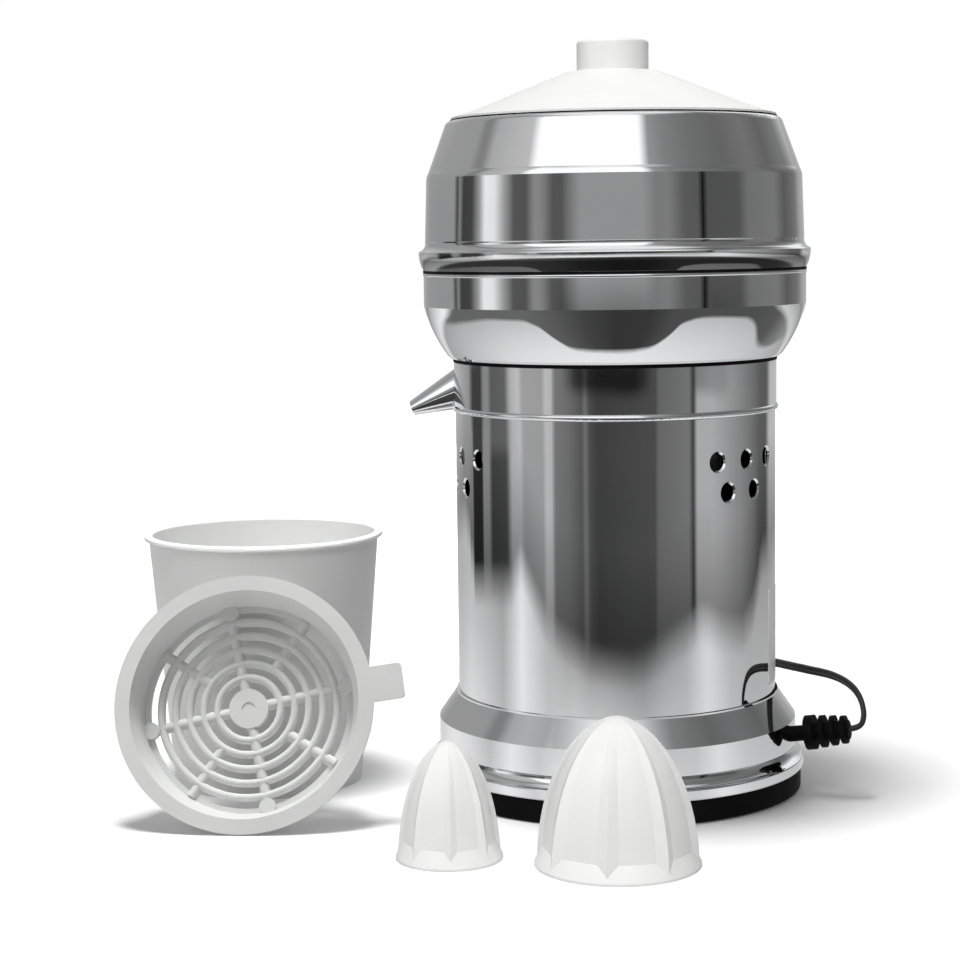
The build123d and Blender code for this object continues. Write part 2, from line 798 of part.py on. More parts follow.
# Bowl floor: a disc in the collar, with a guide under it and a flange around the chimney's foot
with BuildPart() as bowl_floor:
    guide_outer = tube_inner - seat_gap
    with BuildSketch(Plane.XY.offset(bowl_bottom)):
        Circle(collar_inner - press_gap)
        Circle(chimney_bore, mode=Mode.SUBTRACT)
    extrude(amount=bowl_floor_thickness)
    with BuildSketch(Plane.XY.offset(bowl_bottom - bowl_guide_height)):
        Circle(guide_outer)
        Circle(guide_outer - bowl_guide_width, mode=Mode.SUBTRACT)
    extrude(amount=bowl_guide_height)
    with BuildSketch(Plane.XY.offset(bowl_floor_top)):
        Circle(chimney_flange_radius)
        Circle(chimney_radius + press_gap, mode=Mode.SUBTRACT)
    extrude(amount=sheet_wall)
keep(bowl_floor, "bowl_floor")

bowl_chimney = ring(chimney_bore, chimney_radius, bowl_floor_top, chimney_height)
keep(bowl_chimney, "bowl_chimney")

# Dome: round tapered lip, near-upright wall, crease, cone, rounded shoulder and mouth
with BuildPart() as dome_shell:
    crease_middle = (
        (wall_top_radius + cone_bottom_radius) / 2 + dome_crease_inset / 6,
        (dome_wall_top + dome_cone_bottom) / 2,
    )
    shoulder_middle = (
        cone_top_radius - 0.36 * dome_shoulder_inset,
        dome_cone_top + 0.6 * dome_shoulder_height,
    )
    lip_foot = (dome_lip_radius - dome_lip_taper, dome_bottom)
    lip_edge = (dome_lip_radius, dome_lip_top - sheet_wall / 2)
    lip_middle = (
        (lip_foot[0] + lip_edge[0]) / 2 + dome_lip_bulge,
        (lip_foot[1] + lip_edge[1]) / 2,
    )
    fillet_start = (dome_wall_radius + dome_fillet_width, dome_lip_top)
    fillet_middle = (
        dome_wall_radius + 0.293 * dome_fillet_width,
        dome_lip_top + 0.293 * dome_fillet_height,
    )
    fillet_end = (dome_wall_radius, dome_lip_top + dome_fillet_height)
    with BuildSketch(Plane.XZ):
        with BuildLine():
            Line((dome_lip_radius - dome_lip_taper - sheet_wall, dome_bottom), lip_foot)
            ThreePointArc(lip_foot, lip_middle, lip_edge)
            Polyline(lip_edge, (dome_lip_radius - sheet_wall / 2, dome_lip_top), fillet_start)
            ThreePointArc(fillet_start, fillet_middle, fillet_end)
            Line(fillet_end, (wall_top_radius, dome_wall_top))
            ThreePointArc(
                (wall_top_radius, dome_wall_top), crease_middle, (cone_bottom_radius, dome_cone_bottom)
            )
            Line((cone_bottom_radius, dome_cone_bottom), (cone_top_radius, dome_cone_top))
            ThreePointArc((cone_top_radius, dome_cone_top), shoulder_middle, (mouth_radius, dome_top))
            Polyline(
                (mouth_radius, dome_top),
                (opening_radius, dome_top),
                (opening_radius, dome_top - sheet_wall),
                (mouth_radius - sheet_wall / 2, dome_top - sheet_wall),
            )
            ThreePointArc(
                (mouth_radius - sheet_wall / 2, dome_top - sheet_wall),
                (shoulder_middle[0] - sheet_wall, shoulder_middle[1] - sheet_wall / 2),
                (cone_top_radius - sheet_wall, dome_cone_top - sheet_wall / 3),
            )
            Line(
                (cone_top_radius - sheet_wall, dome_cone_top - sheet_wall / 3),
                (cone_bottom_radius - sheet_wall, dome_cone_bottom - sheet_wall / 3),
            )
            ThreePointArc(
                (cone_bottom_radius - sheet_wall, dome_cone_bottom - sheet_wall / 3),
                (crease_middle[0] - sheet_wall, crease_middle[1]),
                (wall_top_radius - sheet_wall, dome_wall_top),
            )
            Polyline(
                (wall_top_radius - sheet_wall, dome_wall_top),
                (dome_wall_radius - sheet_wall, dome_lip_top - sheet_wall),
                (dome_lip_radius - 1.7 * sheet_wall, dome_lip_top - sheet_wall),
                (dome_lip_radius - dome_lip_taper - sheet_wall, dome_bottom),
            )
        make_face()
    revolve(axis=machine_axis)
keep(dome_shell, "dome_shell")

guide_ring_radius = bowl_inner - seat_gap
guide_ring_bottom = dome_bottom - guide_ring_depth
dome_guide_ring = ring(
    guide_ring_radius - guide_ring_wall,
    guide_ring_radius,
    guide_ring_bottom,
    dome_lip_top - sheet_wall - guide_ring_bottom,
)
keep(dome_guide_ring, "dome_guide_ring")

# Lid: thin brim, cone, hollow knob and a plug ring that drops into the dome's mouth
with BuildPart() as lid:
    cone_foot_radius = lid_radius - lid_brim_width
    cone_head_radius = lid_knob_radius + lid_foot_width
    plug_outer = opening_radius - lid_plug_gap
    with BuildSketch(Plane.XZ):
        with BuildLine():
            Polyline(
                (0, lid_bottom),
                (lid_radius, lid_bottom),
                (lid_radius, lid_bottom + lid_edge_height),
                (cone_foot_radius, lid_brim_top),
                (cone_head_radius, lid_cone_top),
                (lid_knob_radius, lid_cone_top),
                (lid_knob_radius, lid_top),
                (0, lid_top),
                close=True,
            )
        make_face()
    revolve(axis=machine_axis)
    fillet(lid.edges().group_by(Axis.Z)[-1], lid_knob_round)
    with BuildSketch(Plane.XZ):
        with BuildLine():
            Polyline(
                (0, lid_bottom),
                (plug_outer - lid_wall, lid_bottom),
                (cone_foot_radius, lid_brim_top - lid_wall),
                (cone_head_radius - lid_wall, lid_cone_top - lid_wall),
                (lid_knob_radius - lid_wall, lid_cone_top - lid_wall),
                (lid_knob_radius - lid_wall, lid_top - lid_wall),
                (0, lid_top - lid_wall),
                close=True,
            )
        make_face()
    revolve(axis=machine_axis, mode=Mode.SUBTRACT)
    with BuildSketch(Plane.XY.offset(lid_bottom - lid_plug_depth)):
        Circle(plug_outer)
        Circle(plug_outer - lid_wall, mode=Mode.SUBTRACT)
    extrude(amount=lid_plug_depth)
keep(lid, "lid")

# Cup's flat bead at its mouth
cup_axis = Axis((cup_x, cup_y, 0), (0, 0, 1))
cup_side = Plane((cup_x, cup_y, 0), x_dir=(1, 0, 0), z_dir=(0, -1, 0))
cup_wall_top = cup_height - cup_bead_height / 2
with BuildPart() as cup_bead:
    with BuildSketch(cup_side):
        with Locations((cup_mouth_radius + (cup_bead_reach - cup_wall) / 2, cup_wall_top)):
            RectangleRounded(cup_wall + cup_bead_reach, cup_bead_height, cup_bead_round)
    revolve(axis=cup_axis)
keep(cup_bead, "cup_bead")

# Cup, which ends in the bead
with BuildPart() as cup:
    with BuildSketch(cup_side):
        with BuildLine():
            Polyline(
                (0, cup_foot_recess),
                (cup_base_radius - 2 * cup_wall, cup_foot_recess),
                (cup_base_radius - 2 * cup_wall, 0),
                (cup_base_radius, 0),
                (cup_mouth_radius, cup_wall_top),
                (cup_mouth_radius - cup_wall, cup_wall_top),
                (cup_base_radius - cup_wall, cup_foot_recess + cup_floor),
                (0, cup_foot_recess + cup_floor),
                close=True,
            )
        make_face()
    revolve(axis=cup_axis)
    add(cup_bead.part, mode=Mode.SUBTRACT)
keep(cup, "cup")

# Sieve: its plane faces forward and up, and its floor's upper edge leans on the cup's wall
lean_sin = sin(radians(sieve_lean))
lean_cos = cos(radians(sieve_lean))
sieve_z = sieve_radius * lean_cos + sieve_flange_thickness * lean_sin
touch_height = sieve_z + sieve_floor_radius * lean_cos - sieve_depth * lean_sin
cup_radius_there = cup_base_radius + (cup_mouth_radius - cup_base_radius) * touch_height / cup_wall_top
sieve_y = (
    cup_y - cup_radius_there - seat_gap - sieve_floor_radius * lean_sin - sieve_depth * lean_cos
)
turn_sin = sin(radians(sieve_turn))
sieve_plane = Plane(
    (cup_x + sieve_shift, sieve_y, sieve_z),
    x_dir=(cos(radians(sieve_turn)), turn_sin * lean_sin, turn_sin * lean_cos),
    z_dir=(0, -lean_cos, lean_sin),
)
sieve_axis = Axis(sieve_plane.origin, sieve_plane.z_dir)
sieve_side = Plane(sieve_plane.origin, x_dir=sieve_plane.x_dir, z_dir=-sieve_plane.y_dir)
sieve_mouth = sieve_radius - sieve_flange_width
sieve_grid_radius = sieve_ring_first + sieve_ring_count * sieve_ring_step - sieve_bar_width / 2
tab_middle = sieve_radius + sieve_tab_length / 2 - sieve_flange_width / 2
with BuildPart(sieve_plane) as sieve:
    with Locations((0, 0, -sieve_depth)):
        Cone(sieve_floor_radius, sieve_mouth + sieve_wall / 2, sieve_depth, align=above)
    Cylinder(sieve_radius, sieve_flange_thickness, align=below)
    with BuildSketch(sieve_plane.offset(-sieve_flange_thickness)):
        with PolarLocations(tab_middle, 1, start_angle=sieve_tab_turn):
            RectangleRounded(sieve_tab_length + sieve_flange_width, sieve_tab_width, sieve_tab_round)
    extrude(amount=sieve_flange_thickness)
    with Locations((0, 0, -sieve_depth + sieve_bar_height / 2)):
        Cone(
            sieve_floor_radius - sieve_wall,
            sieve_mouth,
            sieve_depth - sieve_bar_height / 2,
            align=above,
            mode=Mode.SUBTRACT,
        )
    with Locations((0, 0, -sieve_depth)):
        Cylinder(sieve_grid_radius, sieve_bar_height, align=above, mode=Mode.SUBTRACT)
        Cylinder(sieve_hub_radius, sieve_hub_height, align=above)
    with BuildSketch(sieve_side):
        for index in range(sieve_ring_count):
            ring_radius = sieve_ring_first + index * sieve_ring_step
            shoulder = sieve_bar_height - sieve_bar_width / 2
            with Locations((ring_radius, -sieve_depth)):
                Rectangle(sieve_bar_width, shoulder, align=(Align.CENTER, Align.MIN))
            with Locations((ring_radius, shoulder - sieve_depth)):
                Circle(sieve_bar_width / 2)
    revolve(axis=sieve_axis)
    spoke_end = sieve_grid_radius + sieve_wall
    long_start = sieve_hub_radius - sieve_wall
    short_start = sieve_ring_first + sieve_ring_step
    for turn, spoke_start in ((0, long_start), (180 / sieve_spoke_count, short_start)):
        with PolarLocations((spoke_start + spoke_end) / 2, sieve_spoke_count, start_angle=turn):
            with Locations((0, 0, sieve_spoke_radius - sieve_spoke_sink - sieve_depth)):
                Cylinder(sieve_spoke_radius, spoke_end - spoke_start, rotation=(0, 90, 0))
    post_circle = sieve_floor_radius - sieve_wall - 0.6 * sieve_post_radius
    with PolarLocations(post_circle, sieve_spoke_count):
        with Locations((0, 0, -sieve_depth)):
            Cylinder(sieve_post_radius, sieve_post_height, align=above)
    with Locations((0, 0, -sieve_depth)):
        Cylinder(sieve_radius, cut_past, align=below, mode=Mode.SUBTRACT)
    with Locations((0, 0, sieve_hub_height - sieve_depth)):
        Cylinder(sieve_dimple_radius, sieve_dimple_depth, align=below, mode=Mode.SUBTRACT)
keep(sieve, "sieve")


def ridged_section(radius, flute, height, ridge_angle, centre):
    """Raised ridges with nearly flat faces between them, at one height."""
    step = 360 / reamer_ridges
    floor = radius - flute
    with BuildSketch(Plane((*centre, height))) as star:
        with BuildLine():
            for index in range(reamer_ridges):
                ridge = ridge_angle + index * step
                face_start = around(floor, ridge + reamer_ridge_half_deg, 0)[:2]
                face_middle = around(floor * reamer_face_flat, ridge + step / 2, 0)[:2]
                face_end = around(floor, ridge + step - reamer_ridge_half_deg, 0)[:2]
                Line(around(radius, ridge, 0)[:2], face_start)
                ThreePointArc(face_start, face_middle, face_end)
                Line(face_end, around(radius, ridge + step, 0)[:2])
        make_face()
    return star.sketch.face()


def reamer_and_bush(name, centre, radius, height, foot, flute, wall, ridge_angle):
    """A ridged cone on a bevelled foot, hollow under, with its drive bush."""
    axis = Axis((*centre, 0), (0, 0, 1))
    side = Plane((*centre, 0), x_dir=(1, 0, 0), z_dir=(0, -1, 0))
    foot_top = reamer_foot_edge + reamer_foot_bevel
    stars = []
    for share in reamer_levels:
        ridge = radius * (1 - share**2) ** reamer_power
        level = reamer_foot_edge + share * (height - reamer_foot_edge)
        depth = flute * (ridge / radius) ** reamer_flute_power
        stars.append(ridged_section(ridge, depth, level, ridge_angle, centre))
    hollow_radius = radius - flute
    bush_radius = shaft_bore + bush_wall
    hub_radius = bush_radius + reamer_hub_wall
    cavity_height = bush_lift + bush_length
    cavity_top_radius = hub_radius + bush_wall / 2
    slot_width = 2 * (drive_pin_radius + slot_clearance)
    mouth_depth = slot_depth + drive_end_step + mouth_spare
    with BuildPart() as cone:
        loft(sections=[*stars, Vertex(*centre, height)])
        with BuildSketch(side):
            with BuildLine():
                Polyline(
                    (0, 0),
                    (foot, 0),
                    (foot, reamer_foot_edge),
                    (hollow_radius, foot_top),
                    (0, foot_top),
                    close=True,
                )
            make_face()
        revolve(axis=axis)
        with BuildSketch(side):
            with BuildLine():
                Polyline(
                    (hub_radius, 0),
                    (hollow_radius - wall / 2, 0),
                    (hollow_radius - wall, foot_top),
                    (cavity_top_radius, cavity_height - slot_depth),
                    (hub_radius, cavity_height - slot_depth),
                    close=True,
                )
            make_face()
        revolve(axis=axis, mode=Mode.SUBTRACT)
        with Locations((*centre, 0)):
            Cylinder(hub_radius, bush_lift, align=above, mode=Mode.SUBTRACT)
            Cylinder(bush_radius, cavity_height, align=above, mode=Mode.SUBTRACT)
            Box(slot_width, 2 * hub_radius, bush_lift + slot_depth, align=above, mode=Mode.SUBTRACT)
    keep(cone, name)
    with BuildPart() as bush:
        with Locations((*centre, bush_lift)):
            Cylinder(bush_radius - press_gap, bush_length, align=above)
            Cylinder(drive_end_radius + running_gap, bush_length, align=above, mode=Mode.SUBTRACT)
            Cylinder(shaft_bore, mouth_depth, align=above, mode=Mode.SUBTRACT)
            Box(slot_width, 2 * hub_radius, slot_depth, align=above, mode=Mode.SUBTRACT)
    keep(bush, name + "_bush")


reamer_and_bush(
    "large_reamer",
    (large_reamer_x, large_reamer_y),
    large_reamer_radius,
    large_reamer_height,
    large_reamer_foot,
    large_reamer_flute,
    large_reamer_wall,
    large_reamer_ridge_angle,
)
reamer_and_bush(
    "small_reamer",
    (small_reamer_x, small_reamer_y),
    small_reamer_radius,
    small_reamer_height,
    small_reamer_foot,
    small_reamer_flute,
    small_reamer_wall,
    small_reamer_ridge_angle,
)

# Ribbed boot that the cord leaves by: a neck through the base, and ribs on a line that rises a little
boot_side = (sin(radians(boot_angle)), -cos(radians(boot_angle)), 0)
boot_neck_plane = Plane((0, 0, boot_height), x_dir=around(1, boot_angle, 0), z_dir=boot_side)
boot_root = band_bottom_radius + seat_gap
boot_start = Vector(*around(boot_root, boot_angle, boot_height))
boot_heading = Vector(*around(cos(radians(boot_tilt)), boot_angle, sin(radians(boot_tilt))))
boot_rib_plane = Plane(boot_start, x_dir=boot_heading, z_dir=boot_side)
boot_ribs_end = boot_neck_length + boot_first_rib + boot_rib_count * boot_rib_pitch
boot_length = boot_ribs_end + boot_tip
with BuildPart() as cord_boot:
    with BuildSketch(boot_neck_plane):
        flange_back = tube_inner - seat_gap - boot_inner_flange
        with Locations((flange_back, 0)):
            Rectangle(boot_inner_flange, boot_inner_flange_radius, align=(Align.MIN, Align.MIN))
            Rectangle(boot_root - flange_back, boot_neck_radius, align=(Align.MIN, Align.MIN))
    revolve(axis=Axis((0, 0, boot_height), around(1, boot_angle, 0)))
    with BuildSketch(boot_rib_plane):
        with Locations((-boot_neck_radius * sin(radians(boot_tilt)), 0)):
            Rectangle(boot_neck_length + 1, boot_neck_radius, align=(Align.MIN, Align.MIN))
        with Locations((boot_neck_length, 0)):
            Rectangle(boot_first_rib, boot_rib_radius, align=(Align.MIN, Align.MIN))
            Rectangle(boot_length - boot_neck_length, boot_core_radius, align=(Align.MIN, Align.MIN))
        for index in range(boot_rib_count):
            rib_start = boot_neck_length + boot_first_rib + (index + 1) * boot_rib_pitch - boot_rib_width
            with Locations((rib_start, 0)):
                Rectangle(
                    boot_rib_width,
                    boot_rib_radius - (index + 1) * boot_rib_taper,
                    align=(Align.MIN, Align.MIN),
                )
    revolve(axis=Axis(boot_start, boot_heading))
keep(cord_boot, "cord_boot")

# Coil: two layers of half turns, spiralling in and out again, with a climb between them
cord_radius = cord_diameter / 2
coil_height = tie_thickness + seat_gap + cord_radius
half_turns = round(2 * coil_turns_per_layer)
coil_outer = coil_middle_diameter / 2 + coil_turns_per_layer * coil_pitch / 2
crossings = []
for layer in range(2):
    for index in range(half_turns + 1):
        inward = index if layer == 0 else half_turns - index
        reach = coil_outer - inward * coil_pitch / 2
        side = 1 if (index + layer * (half_turns + 1)) % 2 == 0 else -1
        crossings.append(Vector(side * reach, coil_y, coil_height + layer * coil_pitch))
coil_start = crossings[0] - Vector(0, cord_diameter, 0)
coil_end = crossings[-1] + Vector(0, cord_diameter, 0) * (1 if crossings[-1].X > 0 else -1)
with BuildPart() as cord_coil:
    with BuildLine() as coil_route:
        Line(coil_start, crossings[0])
        for here, there in zip(crossings, crossings[1:]):
            heading = Vector(0, 1 if here.X > 0 else -1, 0)
            summit = (here + there) / 2 + heading * ((there - here).length / 2)
            TangentArc(here, summit, tangent=heading)
            TangentArc(summit, there, tangent=there - here)
        Line(crossings[-1], coil_end)
    with BuildSketch(Plane(coil_start, z_dir=(0, 1, 0))):
        Circle(cord_radius)
    sweep()
keep(cord_coil, "cord_coil")

coil_line = coil_route.wire()
coil_length = coil_line.length
samples = [coil_line.position_at(index / 800) for index in range(801)]
apart = round(6 * cord_diameter / coil_length * 800)
least_gap = min(
    (samples[first] - samples[second]).length - cord_diameter
    for first in range(801)
    for second in range(first + apart, 801)
)
print("coil: length", round(coil_length, 1), "least gap to itself", round(least_gap, 2))


def cord_run(points, name):
    """A cord stretch along straight runs, each corner rounded as far as its runs allow."""
    corners = []
    for before, here, after in zip(points, points[1:], points[2:]):
        shorter = min((here - before).length, (after - here).length)
        turn = (here - before).get_angle(after - here)
        corners.append(0.45 * shorter / tan(radians(turn / 2)))
    with BuildPart() as stretch:
        with BuildLine() as route:
            FilletPolyline(*points, radius=corners)
        with BuildSketch(Plane(points[0], z_dir=points[1] - points[0])):
            Circle(cord_radius)
        sweep()
    keep(stretch, name)
    length = route.wire().length
    share = stretch.part.volume / (length * pi * cord_radius**2)
    print(name, "length", round(length, 1), "volume share", round(share, 4))
    print(name, "radii", [round(corner, 1) for corner in corners])


# Lead from the boot, up and round the back of the body, down to the coil
boot_mouth = boot_start + boot_heading * boot_length
lead_points = [
    boot_mouth,
    boot_mouth + boot_heading * 5.0,
    Vector(124.6, -39.8, 41.8),
    Vector(124.3, -37.3, 48.2),
    Vector(122.0, -32.5, 54.0),
    Vector(117.5, -25.0, 57.8),
    Vector(110.5, -12.5, 59.3),
    Vector(101.5, 1.0, 58.8),
    Vector(91.8, 14.5, 58.6),
    Vector(80.3, 37.0, 57.3),
    Vector(66.5, 58.0, 53.0),
    Vector(53.5, 80.0, 45.0),
    Vector(45.0, 101.0, 32.5),
    Vector(39.5, 121.0, 18.5),
    Vector(36.8, 137.5, 8.0),
    Vector(coil_outer, 149.5, coil_height),
    coil_start,
]
cord_run(lead_points, "cord_lead")

# Tail from the coil to the plug, which lies on the floor
plug_height = plug_thickness / 2
tail_points = [
    coil_end,
    coil_end - Vector(0, 6.5, 0),
    Vector(-38.0, 142.5, 7.6),
    Vector(-44.5, 133.5, 5.2),
    Vector(-54.5, 129.2, 3.4),
    Vector(-64.8, 130.8, 3.2),
    Vector(-72.2, 137.0, 4.8),
    Vector(plug_x, plug_y - 6.5, plug_height),
    Vector(plug_x, plug_y, plug_height),
]
cord_run(tail_points, "cord_tail")

# Tie: a strap that goes once round the coil's bundle, on its far side
with BuildPart() as cord_tie:
    coil_inner = coil_outer - half_turns * coil_pitch / 2
    bundle_near = coil_y + coil_inner - cord_radius - seat_gap
    bundle_far = coil_y + coil_outer + cord_radius + seat_gap
    bundle_width = bundle_far - bundle_near
    bundle_height = cord_diameter + coil_pitch + 2 * seat_gap
    with BuildSketch(Plane.YZ.offset(-tie_width / 2)):
        with Locations(((bundle_near + bundle_far) / 2, tie_thickness + bundle_height / 2)):
            RectangleRounded(
                bundle_width + 2 * tie_thickness, bundle_height + 2 * tie_thickness, 2 * tie_thickness
            )
            Rectangle(bundle_width, bundle_height, mode=Mode.SUBTRACT)
    extrude(amount=tie_width)
keep(cord_tie, "cord_tie")

# Plug: a flat two-pin body with a tapered neck
with BuildPart() as plug_body:
    plug_back = Plane((plug_x, plug_y, plug_height), x_dir=(-1, 0, 0), z_dir=(0, 1, 0))
    with BuildSketch(plug_back):
        Circle(plug_neck_radius)
    with BuildSketch(plug_back.offset(plug_neck_length)):
        RectangleRounded(plug_width * 0.6, plug_thickness * 0.9, plug_round)
    loft()
    with BuildSketch(plug_back.offset(plug_neck_length)):
        RectangleRounded(plug_width * 0.6, plug_thickness * 0.9, plug_round)
    with BuildSketch(plug_back.offset(plug_neck_length + plug_length / 3)):
        RectangleRounded(plug_width, plug_thickness, plug_round)
    loft()
    with BuildSketch(plug_back.offset(plug_neck_length + plug_length / 3)):
        RectangleRounded(plug_width, plug_thickness, plug_round)
    extrude(amount=plug_length * 2 / 3)
    with BuildSketch(plug_back.offset(plug_neck_length + plug_length - plug_pin_seat)):
        with GridLocations(plug_pin_spacing, 1, 2, 1):
            Circle(plug_pin_radius + press_gap)
    extrude(amount=plug_pin_seat, mode=Mode.SUBTRACT)
keep(plug_body, "plug_body")

with BuildPart() as plug_pins:
    with BuildSketch(plug_back.offset(plug_neck_length + plug_length - plug_pin_seat)):
        with GridLocations(plug_pin_spacing, 1, 2, 1):
            Circle(plug_pin_radius)
    extrude(amount=plug_pin_seat + plug_pin_length)
    fillet(plug_pins.edges().group_by(Axis.Y)[-1], plug_pin_radius / 2)
keep(plug_pins, "plug_pins")
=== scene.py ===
import math

import bpy
from mathutils import Matrix, Vector


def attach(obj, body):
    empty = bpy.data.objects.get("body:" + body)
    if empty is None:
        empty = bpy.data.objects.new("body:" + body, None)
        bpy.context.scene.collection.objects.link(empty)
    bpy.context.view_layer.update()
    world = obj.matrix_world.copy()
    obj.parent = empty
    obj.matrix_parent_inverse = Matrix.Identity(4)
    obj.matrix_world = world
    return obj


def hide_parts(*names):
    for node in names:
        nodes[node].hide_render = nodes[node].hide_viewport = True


# A counter-top citrus juicer with its cup, sieve and reamers, dressed around its solids.
# Sizes in this file are in millimetres unless they are marked, and mm turns them into metres.
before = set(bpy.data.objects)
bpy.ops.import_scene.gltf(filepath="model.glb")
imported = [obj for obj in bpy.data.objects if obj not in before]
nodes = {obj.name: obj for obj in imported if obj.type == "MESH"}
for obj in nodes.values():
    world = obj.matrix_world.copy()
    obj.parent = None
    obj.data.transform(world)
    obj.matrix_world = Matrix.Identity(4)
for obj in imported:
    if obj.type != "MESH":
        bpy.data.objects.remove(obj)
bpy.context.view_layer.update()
mm = 0.001


def point(x, y, z):
    """A point given in millimetres, in metres."""
    return Vector((x, y, z)) * mm


def around(radius, angle, height):
    """The point at a radius, an angle in degrees from +X and a height."""
    turn = math.radians(angle)
    return point(radius * math.cos(turn), radius * math.sin(turn), height)


def grey(value):
    """A grey without colour, for a colour socket."""
    return (value, value, value, 1)


# Camera at the photograph's place: angles in radians, near and far ends in metres
camera_eye = point(0, -1165, 286)
camera_pitch = 0.1075
camera_yaw = -0.0604
camera_roll = math.radians(0.75)
camera_lens = 84.375
camera_sensor = 36.0
camera_near = 0.05
camera_far = 60


def set_camera():
    """The camera looks slightly down and to the left, with a small roll."""
    level = math.cos(camera_pitch)
    forward = Vector((math.sin(camera_yaw) * level, math.cos(camera_yaw) * level, -math.sin(camera_pitch)))
    level_right = Vector((math.cos(camera_yaw), -math.sin(camera_yaw), 0))
    level_up = level_right.cross(forward)
    right = level_right * math.cos(camera_roll) - level_up * math.sin(camera_roll)
    up = level_right * math.sin(camera_roll) + level_up * math.cos(camera_roll)
    data = bpy.data.cameras.new("camera")
    data.lens = camera_lens
    data.sensor_width = camera_sensor
    data.clip_start = camera_near
    data.clip_end = camera_far
    camera = bpy.data.objects.new("camera", data)
    bpy.context.scene.collection.objects.link(camera)
    turn = Matrix((right, up, -forward)).transposed()
    camera.matrix_world = Matrix.Translation(camera_eye) @ turn.to_4x4()
    bpy.context.scene.camera = camera


set_camera()


# Working in object and edit mode
def deselect_all():
    """Leave edit mode with nothing selected."""
    if bpy.context.mode != "OBJECT":
        bpy.ops.object.mode_set(mode="OBJECT")
    bpy.ops.object.select_all(action="DESELECT")


def pick(piece):
    """Make one piece the only selected and the active one."""
    deselect_all()
    piece.select_set(True)
    bpy.context.view_layer.objects.active = piece


def settle(piece):
    """Put a piece's place, turn and size into its mesh."""
    pick(piece)
    bpy.ops.object.transform_apply(location=True, rotation=True, scale=True)


def smooth(piece, angle=32):
    """Smooth shading that keeps edges sharper than an angle in degrees."""
    pick(piece)
    bpy.ops.object.shade_smooth_by_angle(angle=math.radians(angle))


def thicken(piece, thickness, side):
    """Give a thin piece its wall: outwards (1) or to both sides (0)."""
    wall = piece.modifiers.new("thickness", "SOLIDIFY")
    wall.thickness = thickness * mm
    wall.offset = side
    pick(piece)
    bpy.ops.object.modifier_apply(modifier=wall.name)


def join(pieces, name):
    """One piece out of several."""
    deselect_all()
    for piece in pieces:
        piece.select_set(True)
    bpy.context.view_layer.objects.active = pieces[0]
    bpy.ops.object.join()
    joined = bpy.context.view_layer.objects.active
    joined.name = name
    return joined


# Nodes for finishes and light
def set_socket(tree, socket, value):
    """Link a socket to another one, or set its value."""
    if isinstance(value, bpy.types.NodeSocket):
        tree.links.new(value, socket)
    else:
        socket.default_value = value


def add_node(tree, kind, values=None, **settings):
    """A node with its settings, and with its sockets linked or set by name or place."""
    node = tree.nodes.new(kind)
    for key, value in settings.items():
        setattr(node, key, value)
    for key, value in (values or {}).items():
        set_socket(tree, node.inputs[key], value)
    return node


def math_node(tree, operation, first, second=0.0):
    """One sum, its result."""
    return add_node(tree, "ShaderNodeMath", {0: first, 1: second}, operation=operation).outputs[0]


def weighed(tree, first, first_share, second, second_share):
    """Two values, each times its share, added up."""
    first_part = math_node(tree, "MULTIPLY", first, first_share)
    second_part = math_node(tree, "MULTIPLY", second, second_share)
    return math_node(tree, "ADD", first_part, second_part)


def mapped(tree, value, from_low, from_high, to_low=0.0, to_high=1.0):
    """A value moved from one range to another, held inside it."""
    from_values = {"From Min": from_low, "From Max": from_high}
    to_values = {"To Min": to_low, "To Max": to_high}
    node = add_node(tree, "ShaderNodeMapRange", {"Value": value, **from_values, **to_values})
    return node.outputs["Result"]


def noise(tree, vector, scale, detail=2.0, roughness=0.5):
    """Noise on a vector, its grey value."""
    values = {"Vector": vector, "Scale": scale, "Detail": detail, "Roughness": roughness}
    return add_node(tree, "ShaderNodeTexNoise", values).outputs[0]


def mixed(tree, share, first, second):
    """Two colours mixed by a share. The colour sockets of this node are its places 6, 7 and 2."""
    node = add_node(tree, "ShaderNodeMix", {"Factor": share, 6: first, 7: second}, data_type="RGBA")
    return node.outputs[2]


def object_place(tree):
    """The place on the piece, in metres."""
    return add_node(tree, "ShaderNodeTexCoord").outputs["Object"]


# Node groups that more than one finish uses
patch_low, patch_high = 0.35, 0.68
patch_in_shine, grain_in_shine = 0.7, 0.3
wave_stretch = (1.0, 1.0, 0.12)


def new_group(name, inputs, outputs):
    """A shader node group with named sockets: the group, its way in and its way out."""
    group = bpy.data.node_groups.new(name, "ShaderNodeTree")
    for label, kind, value in inputs:
        socket = group.interface.new_socket(label, in_out="INPUT", socket_type=kind)
        socket.default_value = value
    for label, kind in outputs:
        group.interface.new_socket(label, in_out="OUTPUT", socket_type=kind)
    way_in = group.nodes.new("NodeGroupInput")
    way_out = group.nodes.new("NodeGroupOutput")
    return group, way_in.outputs, way_out.inputs


